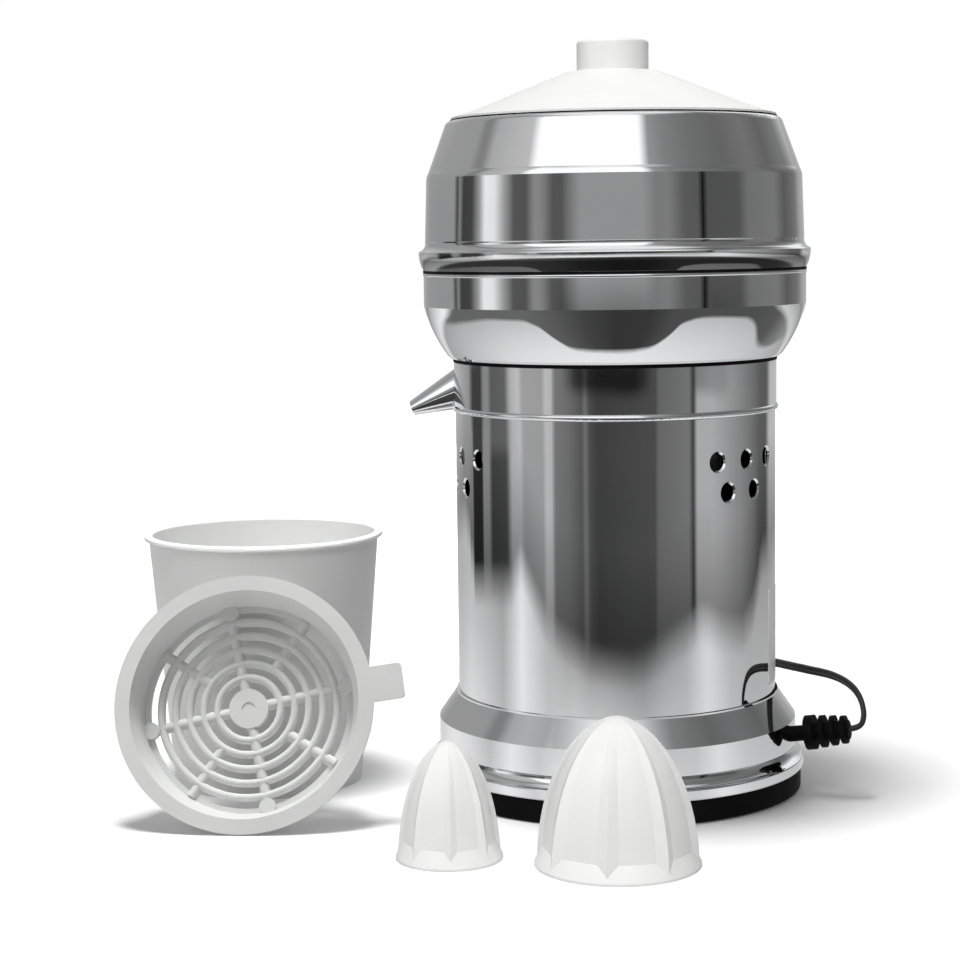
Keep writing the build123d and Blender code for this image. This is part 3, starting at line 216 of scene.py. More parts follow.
def make_mottle():
    """Slow patches of a second colour, a roughness that follows them, and a fine grain."""
    group, way_in, way_out = new_group(
        "mottle",
        [
            ("Main", "NodeSocketColor", grey(0.5)),
            ("Second", "NodeSocketColor", grey(0.4)),
            ("Patch Scale", "NodeSocketFloat", 30.0),
            ("Grain Scale", "NodeSocketFloat", 900.0),
            ("Smooth", "NodeSocketFloat", 0.3),
            ("Rough", "NodeSocketFloat", 0.5),
        ],
        [("Color", "NodeSocketColor"), ("Roughness", "NodeSocketFloat"), ("Grain", "NodeSocketFloat")],
    )
    place = object_place(group)
    patch = mapped(group, noise(group, place, way_in["Patch Scale"], detail=4.0), patch_low, patch_high)
    grain = noise(group, place, way_in["Grain Scale"], detail=3.0, roughness=0.6)
    shine = weighed(group, patch, patch_in_shine, grain, grain_in_shine)
    roughness = mapped(group, shine, 0.0, 1.0, way_in["Smooth"], way_in["Rough"])
    group.links.new(mixed(group, patch, way_in["Main"], way_in["Second"]), way_out["Color"])
    group.links.new(roughness, way_out["Roughness"])
    group.links.new(grain, way_out["Grain"])
    return group


def make_turned_lines():
    """Fine rings about the upright axis, as spinning and buffing leave them, and slow waves along it."""
    group, way_in, way_out = new_group(
        "turned lines",
        [("Line Scale", "NodeSocketFloat", 700.0), ("Wave Scale", "NodeSocketFloat", 24.0)],
        [("Lines", "NodeSocketFloat"), ("Waves", "NodeSocketFloat")],
    )
    place = object_place(group)
    x, y, z = add_node(group, "ShaderNodeSeparateXYZ", {0: place}).outputs
    x_square = math_node(group, "POWER", x, 2.0)
    y_square = math_node(group, "POWER", y, 2.0)
    radius = math_node(group, "SQRT", math_node(group, "ADD", x_square, y_square))
    section = add_node(group, "ShaderNodeCombineXYZ", {0: radius, 2: z}).outputs[0]
    drawn_out = add_node(group, "ShaderNodeVectorMath", {0: place, 1: wave_stretch}, operation="MULTIPLY")
    lines = noise(group, section, way_in["Line Scale"], detail=2.0, roughness=0.7)
    waves = noise(group, drawn_out.outputs[0], way_in["Wave Scale"], detail=1.0)
    group.links.new(lines, way_out["Lines"])
    group.links.new(waves, way_out["Waves"])
    return group


mottle = make_mottle()
turned_lines = make_turned_lines()

# Finishes: two colours, a range of roughness, the scales of their patterns, and relief in metres
bright_steel = (0.82, 0.82, 0.83)
dull_steel = (0.74, 0.75, 0.76)
# The colour of the painted shade at the foot of the dome's lip
painted_shade_colour = grey(0.03)
smudge_scale = 14.0
smudge_grain = 420.0
buffing_lines = 900.0
buffing_waves = 26.0
buffing_turn = 0.25
buffing_relief = 0.001
grain_relief = 0.0002


def new_finish(name):
    """A new material, its tree and its shader."""
    material = bpy.data.materials.new(name)
    material.use_nodes = True
    tree = material.node_tree
    return material, tree, tree.nodes["Principled BSDF"]


def set_inputs(node, values):
    """Set a node's inputs by name, with an underscore for each space."""
    for key, value in values.items():
        node.inputs[key.replace("_", " ")].default_value = value


def place_group(tree, group, **values):
    """A group in a material, with its own values."""
    node = add_node(tree, "ShaderNodeGroup", node_tree=group)
    set_inputs(node, values)
    return node.outputs


def place_mottle(tree, shader, main, second, roughness, patch, grain):
    """The mottled colour and roughness on a shader, at the scales of patches and grain. Gives the grain."""
    out = place_group(
        tree,
        mottle,
        Main=(*main, 1),
        Second=(*second, 1),
        Patch_Scale=patch,
        Grain_Scale=grain,
        Smooth=roughness[0],
        Rough=roughness[1],
    )
    tree.links.new(out["Color"], shader.inputs["Base Color"])
    tree.links.new(out["Roughness"], shader.inputs["Roughness"])
    return out["Grain"]


def add_bump(tree, shader, height, strength, distance):
    """A bump from a height to the shader's normal."""
    values = {"Height": height, "Strength": strength, "Distance": distance}
    bump = add_node(tree, "ShaderNodeBump", values)
    tree.links.new(bump.outputs["Normal"], shader.inputs["Normal"])


def plain_finish(name, main, second, roughness, patch, grain, bump, **shader_values):
    """A moulded, cast or rubber finish: mottled colour, roughness to match and a fine grain."""
    material, tree, shader = new_finish(name)
    height = place_mottle(tree, shader, main, second, roughness, patch, grain)
    add_bump(tree, shader, height, bump, grain_relief)
    set_inputs(shader, shader_values)
    return material


def polished_finish(name, main, second, roughness, lines=0.0, waves=0.0, stretch=0.0):
    """Polished metal: buffing rings, a slight waviness and faint smudges."""
    material, tree, shader = new_finish(name)
    place_mottle(tree, shader, main, second, roughness, smudge_scale, smudge_grain)
    turned = place_group(tree, turned_lines, Line_Scale=buffing_lines, Wave_Scale=buffing_waves)
    height = weighed(tree, turned["Lines"], lines, turned["Waves"], waves)
    add_bump(tree, shader, height, 1.0, buffing_relief)
    set_inputs(shader, {"Metallic": 1.0, "Anisotropic": stretch, "Anisotropic_Rotation": buffing_turn})
    return material


def paint_shade_at_foot(material, low, high, share):
    """Painted shade: a dark band over the foot of a polished piece, gone at its upper height."""
    tree = material.node_tree
    colour = tree.nodes["Principled BSDF"].inputs["Base Color"]
    unshaded = colour.links[0].from_socket
    height = add_node(tree, "ShaderNodeSeparateXYZ", {0: object_place(tree)}).outputs[2]
    painted_shade = mapped(tree, height, low * mm, high * mm, share, 0.0)
    tree.links.new(mixed(tree, painted_shade, unshaded, painted_shade_colour), colour)
    return material


finishes = {
    "polished": polished_finish(
        "polished sheet", bright_steel, dull_steel, roughness=(0.012, 0.03), waves=0.5, stretch=0.2,
    ),
    # The dome's polished sheet, with painted shade darkening the foot of its lip
    "shaded_lip": paint_shade_at_foot(
        polished_finish(
            "polished dome", bright_steel, dull_steel, roughness=(0.012, 0.03), waves=0.5, stretch=0.2,
        ),
        low=274.2, high=276.2, share=0.8,
    ),
    "drawn": polished_finish(
        "drawn tube", bright_steel, dull_steel, roughness=(0.015, 0.035), waves=0.35, stretch=0.4,
    ),
    "ground": polished_finish(
        "ground steel", (0.60, 0.61, 0.62), (0.50, 0.51, 0.53), roughness=(0.18, 0.32), lines=0.02,
    ),
    "plated": polished_finish(
        "plated steel", (0.58, 0.58, 0.57), (0.48, 0.48, 0.46), roughness=(0.28, 0.45),
        lines=0.01, waves=0.02,
    ),
    "alloy": plain_finish(
        "cast alloy", (0.50, 0.51, 0.52), (0.42, 0.43, 0.44), roughness=(0.38, 0.55),
        patch=40.0, grain=1300.0, bump=0.5, Metallic=1.0,
    ),
    "core": polished_finish(
        "stacked core sheets", (0.20, 0.20, 0.21), (0.13, 0.13, 0.14), roughness=(0.4, 0.6), lines=0.08,
    ),
    "copper": polished_finish(
        "varnished winding", (0.55, 0.22, 0.09), (0.42, 0.15, 0.06), roughness=(0.25, 0.4), lines=0.12,
    ),
    "brass": polished_finish(
        "turned brass", (0.72, 0.55, 0.26), (0.62, 0.45, 0.2), roughness=(0.16, 0.3), lines=0.02,
    ),
    "lid": plain_finish(
        "white lid plastic", (0.83, 0.83, 0.82), (0.79, 0.79, 0.78), roughness=(0.26, 0.4),
        patch=22.0, grain=1400.0, bump=0.06,
    ),
    "pale": plain_finish(
        "pale cup plastic", (0.87, 0.875, 0.865), (0.83, 0.835, 0.825), roughness=(0.3, 0.46),
        patch=20.0, grain=1600.0, bump=0.08,
    ),
    # The cup's pale plastic made darker, as painted shade for the sieve's recess
    "mesh": plain_finish(
        "pale sieve plastic darkened as painted shade", (0.75, 0.755, 0.745), (0.71, 0.715, 0.705), roughness=(0.3, 0.46),
        patch=24.0, grain=1600.0, bump=0.08,
    ),
    "reamer": plain_finish(
        "reamer plastic", (0.86, 0.86, 0.85), (0.81, 0.81, 0.80), roughness=(0.32, 0.46),
        patch=26.0, grain=1500.0, bump=0.08,
        Subsurface_Weight=0.2, Subsurface_Scale=0.004, Subsurface_Radius=(1, 1, 1),
    ),
    # Black rubber, also used for the dark bands of painted shade in the seams
    "rubber": plain_finish(
        "black rubber and painted shade", (0.003, 0.003, 0.003), (0.006, 0.006, 0.006), roughness=(0.5, 0.75),
        patch=60.0, grain=1800.0, bump=0.3, Specular_IOR_Level=0.06,
    ),
    "jacket": plain_finish(
        "cord jacket", (0.012, 0.012, 0.013), (0.02, 0.02, 0.021), roughness=(0.32, 0.5),
        patch=120.0, grain=2600.0, bump=0.2,
    ),
    "dark": plain_finish(
        "dark moulding", (0.02, 0.02, 0.022), (0.032, 0.032, 0.034), roughness=(0.3, 0.5),
        patch=90.0, grain=2200.0, bump=0.25,
    ),
    "white_part": plain_finish(
        "white moulding", (0.78, 0.78, 0.76), (0.7, 0.7, 0.68), roughness=(0.35, 0.5),
        patch=60.0, grain=1500.0, bump=0.1,
    ),
    "label": plain_finish(
        "label film", (0.78, 0.78, 0.77), (0.73, 0.73, 0.72), roughness=(0.3, 0.42),
        patch=60.0, grain=2600.0, bump=0.05,
    ),
    "mark": plain_finish(
        "switch mark paint", (0.8, 0.8, 0.78), (0.7, 0.7, 0.68), roughness=(0.4, 0.55),
        patch=400.0, grain=3000.0, bump=0.05,
    ),
}

# The solids that take each finish
finish_of = {
    "polished": "base_skirt bowl_shell bowl_floor bowl_chimney dome_guide_ring spout",
    "shaded_lip": "dome_shell",
    "drawn": "body_tube",
    "ground": "motor_shaft drive_pin upper_bearing lower_bearing",
    "plated": "bottom_plate bottom_screws motor_bolts capacitor_clip",
    "alloy": "deck_plate upper_bracket lower_bracket capacitor",
    "core": "stator_core rotor_core",
    "copper": "stator_windings",
    "brass": "large_reamer_bush small_reamer_bush plug_pins",
    "lid": "lid",
    "pale": "cup cup_bead",
    "mesh": "sieve",
    "reamer": "large_reamer small_reamer",
    "rubber": "foot_ring shaft_seal cord_boot",
    "jacket": "inner_lead plug_body cord_lead cord_coil cord_tail",
    "dark": "cooling_fan switch_housing switch_rocker cord_tie",
    "white_part": "terminal_block",
}
for finish, names in finish_of.items():
    for name in names.split():
        for slot in nodes[name].material_slots:
            slot.material = finishes[finish]


def dress(piece, finish, body):
    """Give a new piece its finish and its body."""
    piece.data.materials.clear()
    piece.data.materials.append(finishes[finish])
    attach(piece, body)


# Mains cord: a flat twin cord on one smooth line, from the boot over to the coil and the plug
cord_width = 5.2
strand_radius = 1.4
strand_steps = 10
line_steps = 7
no_turn = 1e-9
boot_angle = -18.0
boot_tilt = math.radians(8.5)
boot_root = 93.2
boot_height = 31.66
boot_length = 30.6
boot_heading = around(math.cos(boot_tilt), boot_angle, math.sin(boot_tilt)) / mm
boot_mouth = around(boot_root, boot_angle, boot_height) + boot_heading * boot_length * mm
held_in_boot = 3
straight_out = 5
coil_y = 165.0
coil_left = -50.0
coil_lead_in = 4.0
coil_outer = 37.1
coil_height = 3.9
coil_pitch = 6.8
coil_layers = 2
half_turns = 5
turn_points = 6
# The cord turns from flat to upright on this share of its way from the boot to the coil
upright_from, upright_over = 0.35, 0.6
plug_x = -74.0
plug_y = 152.0
plug_height = 6.5
lead_route = [
    (124.6, -39.8, 41.8),
    (124.3, -37.3, 48.2),
    (122.0, -32.5, 54.0),
    (117.5, -25.0, 57.8),
    (110.5, -12.5, 59.3),
    (101.5, 1.0, 58.8),
    (91.8, 14.5, 58.6),
    (80.3, 37.0, 57.3),
    (66.5, 58.0, 53.0),
    (53.5, 80.0, 45.0),
    (45.0, 101.0, 32.5),
    (39.5, 121.0, 18.5),
    (36.8, 137.5, 8.0),
    (37.1, 149.5, 3.9),
]
tail_route = [
    (-37.1, 153.3, 10.7),
    (-38.0, 142.5, 7.6),
    (-44.5, 133.5, 5.2),
    (-54.5, 129.2, 3.4),
    (-64.8, 130.8, 3.2),
    (-72.2, 137.0, 4.8),
    (plug_x, 145.5, plug_height),
    (plug_x, plug_y + 2, plug_height),
]


def coil_route():
    """The coil's turns: half circles that step in on the floor, climb, and step out again."""
    reaches = []
    for layer in range(coil_layers):
        for index in range(half_turns + 1):
            inward = index if layer == 0 else half_turns - index
            reaches.append((coil_outer - inward * coil_pitch / 2, coil_height + layer * coil_pitch))
    # The smooth line cuts inside its points, so these stand a little further out
    swell = 1 / (0.75 + 0.25 * math.cos(math.pi / turn_points))
    turns = []
    for index, (here, there) in enumerate(zip(reaches, reaches[1:])):
        side = 1 if index % 2 == 0 else -1
        middle = side * (here[0] - there[0]) / 2
        radius = (here[0] + there[0]) / 2 * swell
        for step in range(turn_points):
            share = step / turn_points
            x = middle + side * radius * math.cos(share * math.pi)
            y = coil_y + side * radius * math.sin(share * math.pi)
            turns.append((x, y, here[1] + (there[1] - here[1]) * share))
    turns.append((-coil_outer, coil_y, coil_height + coil_pitch))
    return turns


def cord_line():
    """Points along the cord's NURBS line."""
    start = [boot_mouth - boot_heading * held_in_boot * mm, boot_mouth + boot_heading * straight_out * mm]
    control = start + [point(*place) for place in lead_route + coil_route() + tail_route]
    curve = bpy.data.curves.new("cord line", "CURVE")
    curve.dimensions = "3D"
    spline = curve.splines.new("NURBS")
    spline.points.add(len(control) - 1)
    for knot, place in zip(spline.points, control):
        knot.co = (*place, 1)
    spline.order_u = 3
    spline.use_endpoint_u = True
    spline.resolution_u = line_steps
    carrier = bpy.data.objects.new("cord line", curve)
    bpy.context.scene.collection.objects.link(carrier)
    mesh = bpy.data.meshes.new_from_object(carrier)
    line = [vertex.co.copy() for vertex in mesh.vertices]
    bpy.data.objects.remove(carrier)
    bpy.data.curves.remove(curve)
    bpy.data.meshes.remove(mesh)
    return line


def carry(vector, before, after):
    """A vector turned as the line turns, with no twist."""
    axis = before.cross(after)
    if axis.length < no_turn:
        return vector.copy()
    return Matrix.Rotation(before.angle(after), 3, axis) @ vector


def is_in_coil(place):
    """Whether a point of the line lies on the coil."""
    return place.y > (coil_y - coil_lead_in) * mm and place.x > coil_left * mm


def cord_frames(line):
    """The line's directions and the cord's broad side: level at the boot and plug, upright in the coil."""
    count = len(line)
    ahead = []
    for index in range(count):
        ahead.append((line[min(index + 1, count - 1)] - line[max(index - 1, 0)]).normalized())
    broad = [ahead[0].cross(Vector((0, 0, 1))).normalized()]
    for before, after in zip(ahead, ahead[1:]):
        broad.append(carry(broad[-1], before, after))
    in_coil = [index for index, place in enumerate(line) if is_in_coil(place)]
    first, last = min(in_coil), max(in_coil)
    for index in range(count):
        upright = Vector((0, 0, 1)) - ahead[index] * ahead[index].z
        upright.normalize()
        level = upright.cross(ahead[index])
        angle = math.atan2(broad[index].dot(level), broad[index].dot(upright))
        if abs(angle) > math.pi / 2:
            angle -= math.copysign(math.pi, angle)
        if index <= first:
            share = min(1, max(0, (index / first - upright_from) / upright_over))
        elif index <= last:
            share = 1
        else:
            share = 1 - (index - last) / (count - 1 - last)
            angle = math.pi / 2
        ease = share * share * (3 - 2 * share)
        held = angle * (1 - ease)
        broad[index] = upright * math.cos(held) + level * math.sin(held)
    return ahead, broad


def strand_outline():
    """The cord's section: two round strands side by side with a groove between."""
    apart = cord_width / 2 - strand_radius
    meet = math.acos(-apart / strand_radius)
    outline = []
    for side in (1, -1):
        for step in range(strand_steps):
            angle = -meet + 2 * meet * (step + 0.5) / strand_steps
            wide = apart + strand_radius * math.cos(angle)
            outline.append((side * wide, side * strand_radius * math.sin(angle)))
    return outline


def make_cord():
    """The twin cord's skin along its line, closed at both ends."""
    line = cord_line()
    ahead, broad = cord_frames(line)
    outline = strand_outline()
    ring_size = len(outline)
    vertices = []
    for place, direction, wide in zip(line, ahead, broad):
        thin = direction.cross(wide)
        vertices.extend(place + wide * (a * mm) + thin * (b * mm) for a, b in outline)
    faces = []
    for ring in range(len(line) - 1):
        low, high = ring * ring_size, (ring + 1) * ring_size
        for step in range(ring_size):
            after = (step + 1) % ring_size
            faces.append((low + step, low + after, high + after, high + step))
    faces.append(tuple(reversed(range(ring_size))))
    faces.append(tuple(range(len(vertices) - ring_size, len(vertices))))
    mesh = bpy.data.meshes.new("mains_cord")
    mesh.from_pydata(vertices, [], faces)
    cord = bpy.data.objects.new("mains_cord", mesh)
    bpy.context.scene.collection.objects.link(cord)
    smooth(cord, angle=50)
    dress(cord, "jacket", "machine")
    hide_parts("cord_lead", "cord_coil", "cord_tail")


make_cord()


# Blank label on the tube's right side, between two angles in degrees
body_radius = 82.5
label_low = 57.0
label_high = 106.0
label_first = -20.5
label_last = 14.0
label_corner = 1.6
label_thickness = 0.14
label_gap = 0.02
label_steps = 240
label_corner_steps = 5
angle_slack = 0.01
cut_slack = 1e-7


def make_label():
    """A strip cut from a thin round wall, with rounded corners and a little thickness."""
    deselect_all()
    bpy.ops.mesh.primitive_cylinder_add(
        vertices=label_steps,
        radius=(body_radius + label_gap) * mm,
        depth=(label_high - label_low) * mm,
        end_fill_type="NOTHING",
        location=point(0, 0, (label_low + label_high) / 2),
    )
    label = bpy.context.active_object
    label.name = "side_label"
    settle(label)
    bpy.ops.object.mode_set(mode="EDIT")
    first, last = math.radians(label_first), math.radians(label_last)
    sides = [(1, 0, 0), (-math.sin(first), math.cos(first), 0), (math.sin(last), -math.cos(last), 0)]
    for side in sides:
        bpy.ops.mesh.select_all(action="SELECT")
        bpy.ops.mesh.bisect(plane_co=(0, 0, 0), plane_no=side, clear_inner=True, threshold=cut_slack)
    bpy.ops.object.mode_set(mode="OBJECT")
    for vertex in label.data.vertices:
        turn = math.degrees(math.atan2(vertex.co.y, vertex.co.x))
        vertex.select = turn < label_first + angle_slack or turn > label_last - angle_slack
    bpy.ops.object.mode_set(mode="EDIT")
    bpy.ops.mesh.select_mode(type="VERT")
    bpy.ops.mesh.bevel(offset=label_corner * mm, segments=label_corner_steps, affect="VERTICES")
    bpy.ops.object.mode_set(mode="OBJECT")
    thicken(label, label_thickness, side=1)
    smooth(label)
    dress(label, "label", "machine")


# Dark bands of painted shade in the seams, where the gaps lie in shadow
band_thickness = 0.4
band_corner = 0.25 * band_thickness
band_steps = 200
merge_reach = 1e-6


def make_shade_band(name, radius, low, high, body):
    """A thin dark band of painted shade around the upright axis: a small section with soft corners, spun once
    round.
    """
    deselect_all()
    middle = point(radius, 0, (low + high) / 2)
    bpy.ops.mesh.primitive_plane_add(size=1, location=middle, rotation=(math.pi / 2, 0, 0))
    band = bpy.context.active_object
    band.name = name
    band.scale = (band_thickness * mm, (high - low) * mm, 1)
    settle(band)
    bpy.ops.object.mode_set(mode="EDIT")
    bpy.ops.mesh.select_all(action="SELECT")
    bpy.ops.mesh.bevel(offset=band_corner * mm, segments=2, affect="VERTICES")
    bpy.ops.mesh.select_all(action="SELECT")
    bpy.ops.mesh.delete(type="ONLY_FACE")
    bpy.ops.mesh.select_all(action="SELECT")
    bpy.ops.mesh.spin(steps=band_steps, angle=2 * math.pi, center=(0, 0, 0), axis=(0, 0, 1))
    bpy.ops.mesh.select_all(action="SELECT")
    bpy.ops.mesh.remove_doubles(threshold=merge_reach)
    bpy.ops.mesh.normals_make_consistent(inside=False)
    bpy.ops.object.mode_set(mode="OBJECT")
    smooth(band, angle=40)
    # The dark rubber finish gives the band its painted shade
    dress(band, "rubber", body)


# Marks on the rocker
rocker_pivot = point(0, 81.0, 105.0)
rocker_lean = math.radians(10)
rocker_face = 2.1
rocker_rise = 1.1
rocker_half = 6.5
mark_place = 3.5
mark_length = 3.0
mark_line = 0.7
mark_thickness = 0.15
mark_corner = mark_thickness / 4
mark_ring_steps = 40


def mark_frame(side):
    """The place of a mark on the rocker's upper (1) or lower (-1) slope."""
    out = Vector((0, math.cos(rocker_lean), math.sin(rocker_lean)))
    along = Vector((0, -math.sin(rocker_lean), math.cos(rocker_lean)))
    rise = rocker_rise / rocker_half
    level = (along + out * rise * side).normalized()
    across = Vector((-1, 0, 0))
    facing = across.cross(level)
    middle = rocker_pivot + (out * (rocker_face + rise * mark_place) + along * side * mark_place) * mm
    return Matrix.Translation(middle) @ Matrix((across, level, facing)).transposed().to_4x4()


def make_bar_mark():
    """A small flat bar with soft edges."""
    deselect_all()
    bpy.ops.mesh.primitive_cube_add(size=1)
    bar = bpy.context.active_object
    bar.scale = point(mark_line, mark_length, mark_thickness)
    settle(bar)
    bpy.ops.object.mode_set(mode="EDIT")
    bpy.ops.mesh.select_all(action="SELECT")
    bpy.ops.mesh.bevel(offset=mark_corner * mm, segments=2, affect="EDGES")
    bpy.ops.object.mode_set(mode="OBJECT")
    return bar


def make_ring_mark():
    """A small flat ring, drawn in from a circle."""
    deselect_all()
    radius = mark_length / 2 * mm
    bpy.ops.mesh.primitive_circle_add(vertices=mark_ring_steps, radius=radius, fill_type="NOTHING")
    ring = bpy.context.active_object
    bpy.ops.object.mode_set(mode="EDIT")
    bpy.ops.mesh.select_all(action="SELECT")
    bpy.ops.mesh.extrude_edges_move()
    inner = 1 - 2 * mark_line / mark_length
    bpy.ops.transform.resize(value=(inner, inner, 1))
    bpy.ops.mesh.select_all(action="SELECT")
    bpy.ops.mesh.normals_make_consistent(inside=False)
    bpy.ops.object.mode_set(mode="OBJECT")
    thicken(ring, mark_thickness, side=0)
    return ring


def make_switch_marks():
    """A bar on one end of the rocker and a ring on the other."""
    bar = make_bar_mark()
    ring = make_ring_mark()
    for piece, side in ((bar, 1), (ring, -1)):
        piece.matrix_world = mark_frame(side)
        settle(piece)
    marks = join([bar, ring], "switch_marks")
    smooth(marks)
    dress(marks, "mark", "rocker")


make_label()
# Painted shade: dark bands under the dome's lip, at the collar's top and under the lid, where the gaps lie in
# shadow
make_shade_band("lip_shade_band", radius=98.07, low=267.95, high=269.2, body="bowl")
make_shade_band("collar_shade_band", radius=83.2, low=222.3, high=223.6, body="bowl")
make_shade_band("lid_shade_band", radius=83.2, low=344.63, high=345.35, body="dome")
make_switch_marks()

# Floor, in metres: its glow for the camera rises from near the machine to far away
black, dim, white = grey(0), grey(0.4), grey(1)
floor_size = 14
floor_main, floor_second = grey(0.86), grey(0.84)
floor_bounce = grey(0.55)
glow_near, glow_far = 0.25, 1.3
glow_low, glow_high = 0.06, 1.0


def make_floor():
    """A wide pale floor, lifted for the camera so that it meets the pale background."""
    deselect_all()
    bpy.ops.mesh.primitive_plane_add(size=floor_size)
    floor = bpy.context.active_object
    floor.name = "floor"
    material, tree, shader = new_finish("pale floor")
    out = place_group(
        tree, mottle, Main=floor_main, Second=floor_second, Patch_Scale=2.0, Smooth=0.55, Rough=0.7
    )
    seen = add_node(tree, "ShaderNodeLightPath").outputs["Is Camera Ray"]
    tree.links.new(mixed(tree, seen, floor_bounce, out["Color"]), shader.inputs["Base Color"])
    tree.links.new(out["Roughness"], shader.inputs["Roughness"])
    shader.inputs["Emission Color"].default_value = white
    reach = add_node(tree, "ShaderNodeVectorMath", {0: object_place(tree)}, operation="LENGTH")
    lift = mapped(tree, reach.outputs["Value"], glow_near, glow_far, glow_low, glow_high)
    glow = math_node(tree, "MULTIPLY", seen, lift)
    tree.links.new(glow, shader.inputs["Emission Strength"])
    floor.data.materials.append(material)
    floor.visible_glossy = False
    return floor


# Rings of panels around the machine, for its metal to reflect: angles in degrees and values.
# The angle is 0 at the camera's side and 90 at its right.
panels = {
    # How far down the dark under the bowl ends
    "under_depth": [
        (-180, 0.2), (-150, 0.2), (-138, 0.26), (-126, 0.34), (-114, 0.38), (-104, 0.41), (-94, 0.43),
        (-78, 0.49), (-62, 0.54), (-53, 0.63), (-49, 0.77), (-43.5, 0.855), (-36, 0.873), (-24, 0.893),
        (-2, 0.91), (20, 0.9), (32, 0.873), (38, 0.85), (43, 0.76), (47, 0.62), (58, 0.52), (72, 0.5),
        (88, 0.45), (96, 0.44), (104, 0.46), (112, 0.5), (121, 0.53), (131, 0.5), (140, 0.4), (150, 0.24),
        (160, 0.2), (180, 0.2),
    ],
    # How far down the table's side gives way to the floor
    "floor_depth": [
        (-180, 0.13), (-138, 0.12), (-129, 0.13), (-124, 0.151), (-80, 0.153), (-71, 0.142), (-58, 0.16),
        (-49, 0.171), (-36, 0.178), (-20, 0.186), (10, 0.189), (34, 0.183), (51, 0.175), (64, 0.167),
        (81, 0.174), (102, 0.174), (115, 0.164), (130, 0.14), (180, 0.13),
    ],
    # The dark under the bowl
    "under": [
        (-180, 0.4), (-130, 0.2), (-120, 0.16), (-60, 0.16), (-40, 0.12), (-20, 0.07), (0, 0.045), (24, 0.05),
        (40, 0.09), (100, 0.1), (122, 0.12), (140, 0.3), (180, 0.4),
    ],
    # The floor, and how much of its far edge is in the shade
    "floor": [
        (-180, 0.75), (-150, 0.85), (-130, 1.05), (-110, 0.97), (-90, 0.7), (-71, 1.02), (-50, 0.76),
        (-30, 1.03), (-10, 1.02), (10, 0.9), (30, 0.82), (50, 0.74), (68, 0.95), (90, 0.74), (110, 0.7),
        (140, 0.66), (180, 0.75),
    ],
    "floor_shade": [
        (-180, 0.4), (-150, 0.4), (-130, 0.45), (-110, 0.5), (-88, 0.45), (-78, 0.2), (-71, 0.05), (-62, 0.2),
        (-50, 0.4), (-36, 0.9), (-20, 1.2), (20, 1.3), (36, 0.8), (50, 0.5), (64, 0.2), (74, 0.2), (90, 0.4),
        (110, 0.5), (180, 0.4),
    ],
    # The table's side, a dark gap along its top and a dark block on it
    "table": [
        (-180, 0.55), (-146, 0.5), (-128, 0.36), (-122, 0.06), (-111, 0.06), (-107, 0.3), (-102, 0.3),
        (-99, 0.13), (-84, 0.15), (-78, 0.52), (-70, 0.62), (-67, 0.42), (-52, 0.4), (-49, 0.6), (-45, 0.55),
        (-43, 0.22), (-34, 0.19), (-24, 0.11), (-21, 0.2), (-18, 0.09), (-12, 0.06), (28, 0.085), (30, 0.16),
        (54, 0.22), (56, 0.08), (58, 0.08), (60, 0.5), (72, 0.5), (90, 0.36), (124, 0.13), (136, 0.12),
        (144, 0.55),
    ],
    "gap": [
        (-180, 0), (-38, 0), (-28, 0.9), (14, 1), (20, 0.7), (26, 0), (56, 0), (60, 0.6), (82, 0.3), (90, 0),
        (180, 0),
    ],
    "block": [
        (-180, 0), (-126, 0), (-122, 1), (-110, 1), (-108, 0.1), (-102, 0.1), (-99, 1), (-84, 0.9), (-79, 0),
        (180, 0),
    ],
    # The walls at the machine's height
    "wall": [
        (-180, 0.55), (-150, 0.36), (-112, 0.35), (-108.5, 0.05), (-106, 0.3), (-103, 0.06), (-95, 0.07),
        (-88, 0.4), (-83, 1.0), (-75, 0.95), (-68, 0.4), (-62, 0.11), (-53, 0.1), (-47, 0.3), (-43, 0.27),
        (-37, 0.11), (-31, 0.11), (-19, 0.36), (17, 0.35), (25, 0.24), (32, 0.25), (43, 0.13), (52, 0.12),
        (55, 0.0), (57.5, 0.1), (80, 0.11), (87, 0.2), (113, 0.225), (124, 0.12), (140, 0.2), (152, 0.4),
        (180, 0.55),
    ],
    # The light boxes above the walls, and the ceiling
    "light_boxes": [
        (-180, 0.8), (-155, 0.5), (-137, 0.37), (-108, 0.37), (-102, 0.26), (-97, 0.28), (-89, 0.48),
        (-60, 0.6), (-54, 1.25), (19, 1.3), (25, 0.36), (36, 0.27), (57, 0.2), (79, 0.16), (99, 0.2),
        (118, 0.15), (137, 0.24), (146, 0.5), (156, 1.1), (180, 0.8),
    ],
    "ceiling": [
        (-180, 0.5), (-104, 0.38), (-98, 0.24), (-88, 0.34), (-60, 0.42), (-46, 0.6), (-30, 0.86),
        (-12, 1.03), (12, 0.98), (24, 0.74), (38, 0.45), (50, 0.26), (62, 0.21), (80, 0.18), (100, 0.22),
        (120, 0.18), (140, 0.4), (180, 0.5),
    ],
}
rounded_panels = ["under_depth"]

# Where one band of the studio gives way to the next, as the share of a direction that points down or up
nadir_band = (0.25, 0.95)
under_edge = (-0.015, 0.025)
under_band = (0.26, 0.3)
floor_shade_band = (0.145, 0.24)
floor_edge = (-0.008, 0.012)
table_shade_band = (-0.05, -0.005)
table_shade = 0.5
gap_band = (0.066, 0.073)
gap_shade = 0.8
block_band = (0.092, 0.1)
block_shade = 0.55
wall_shade_band = (0.018, 0.036)
wall_shade = 0.5
wall_band = (-0.058, -0.04)
box_band = (0.16, 0.3)
ceiling_band = (0.7, 0.78)
zenith_band = (0.86, 0.95)
soft_strength = 0.15


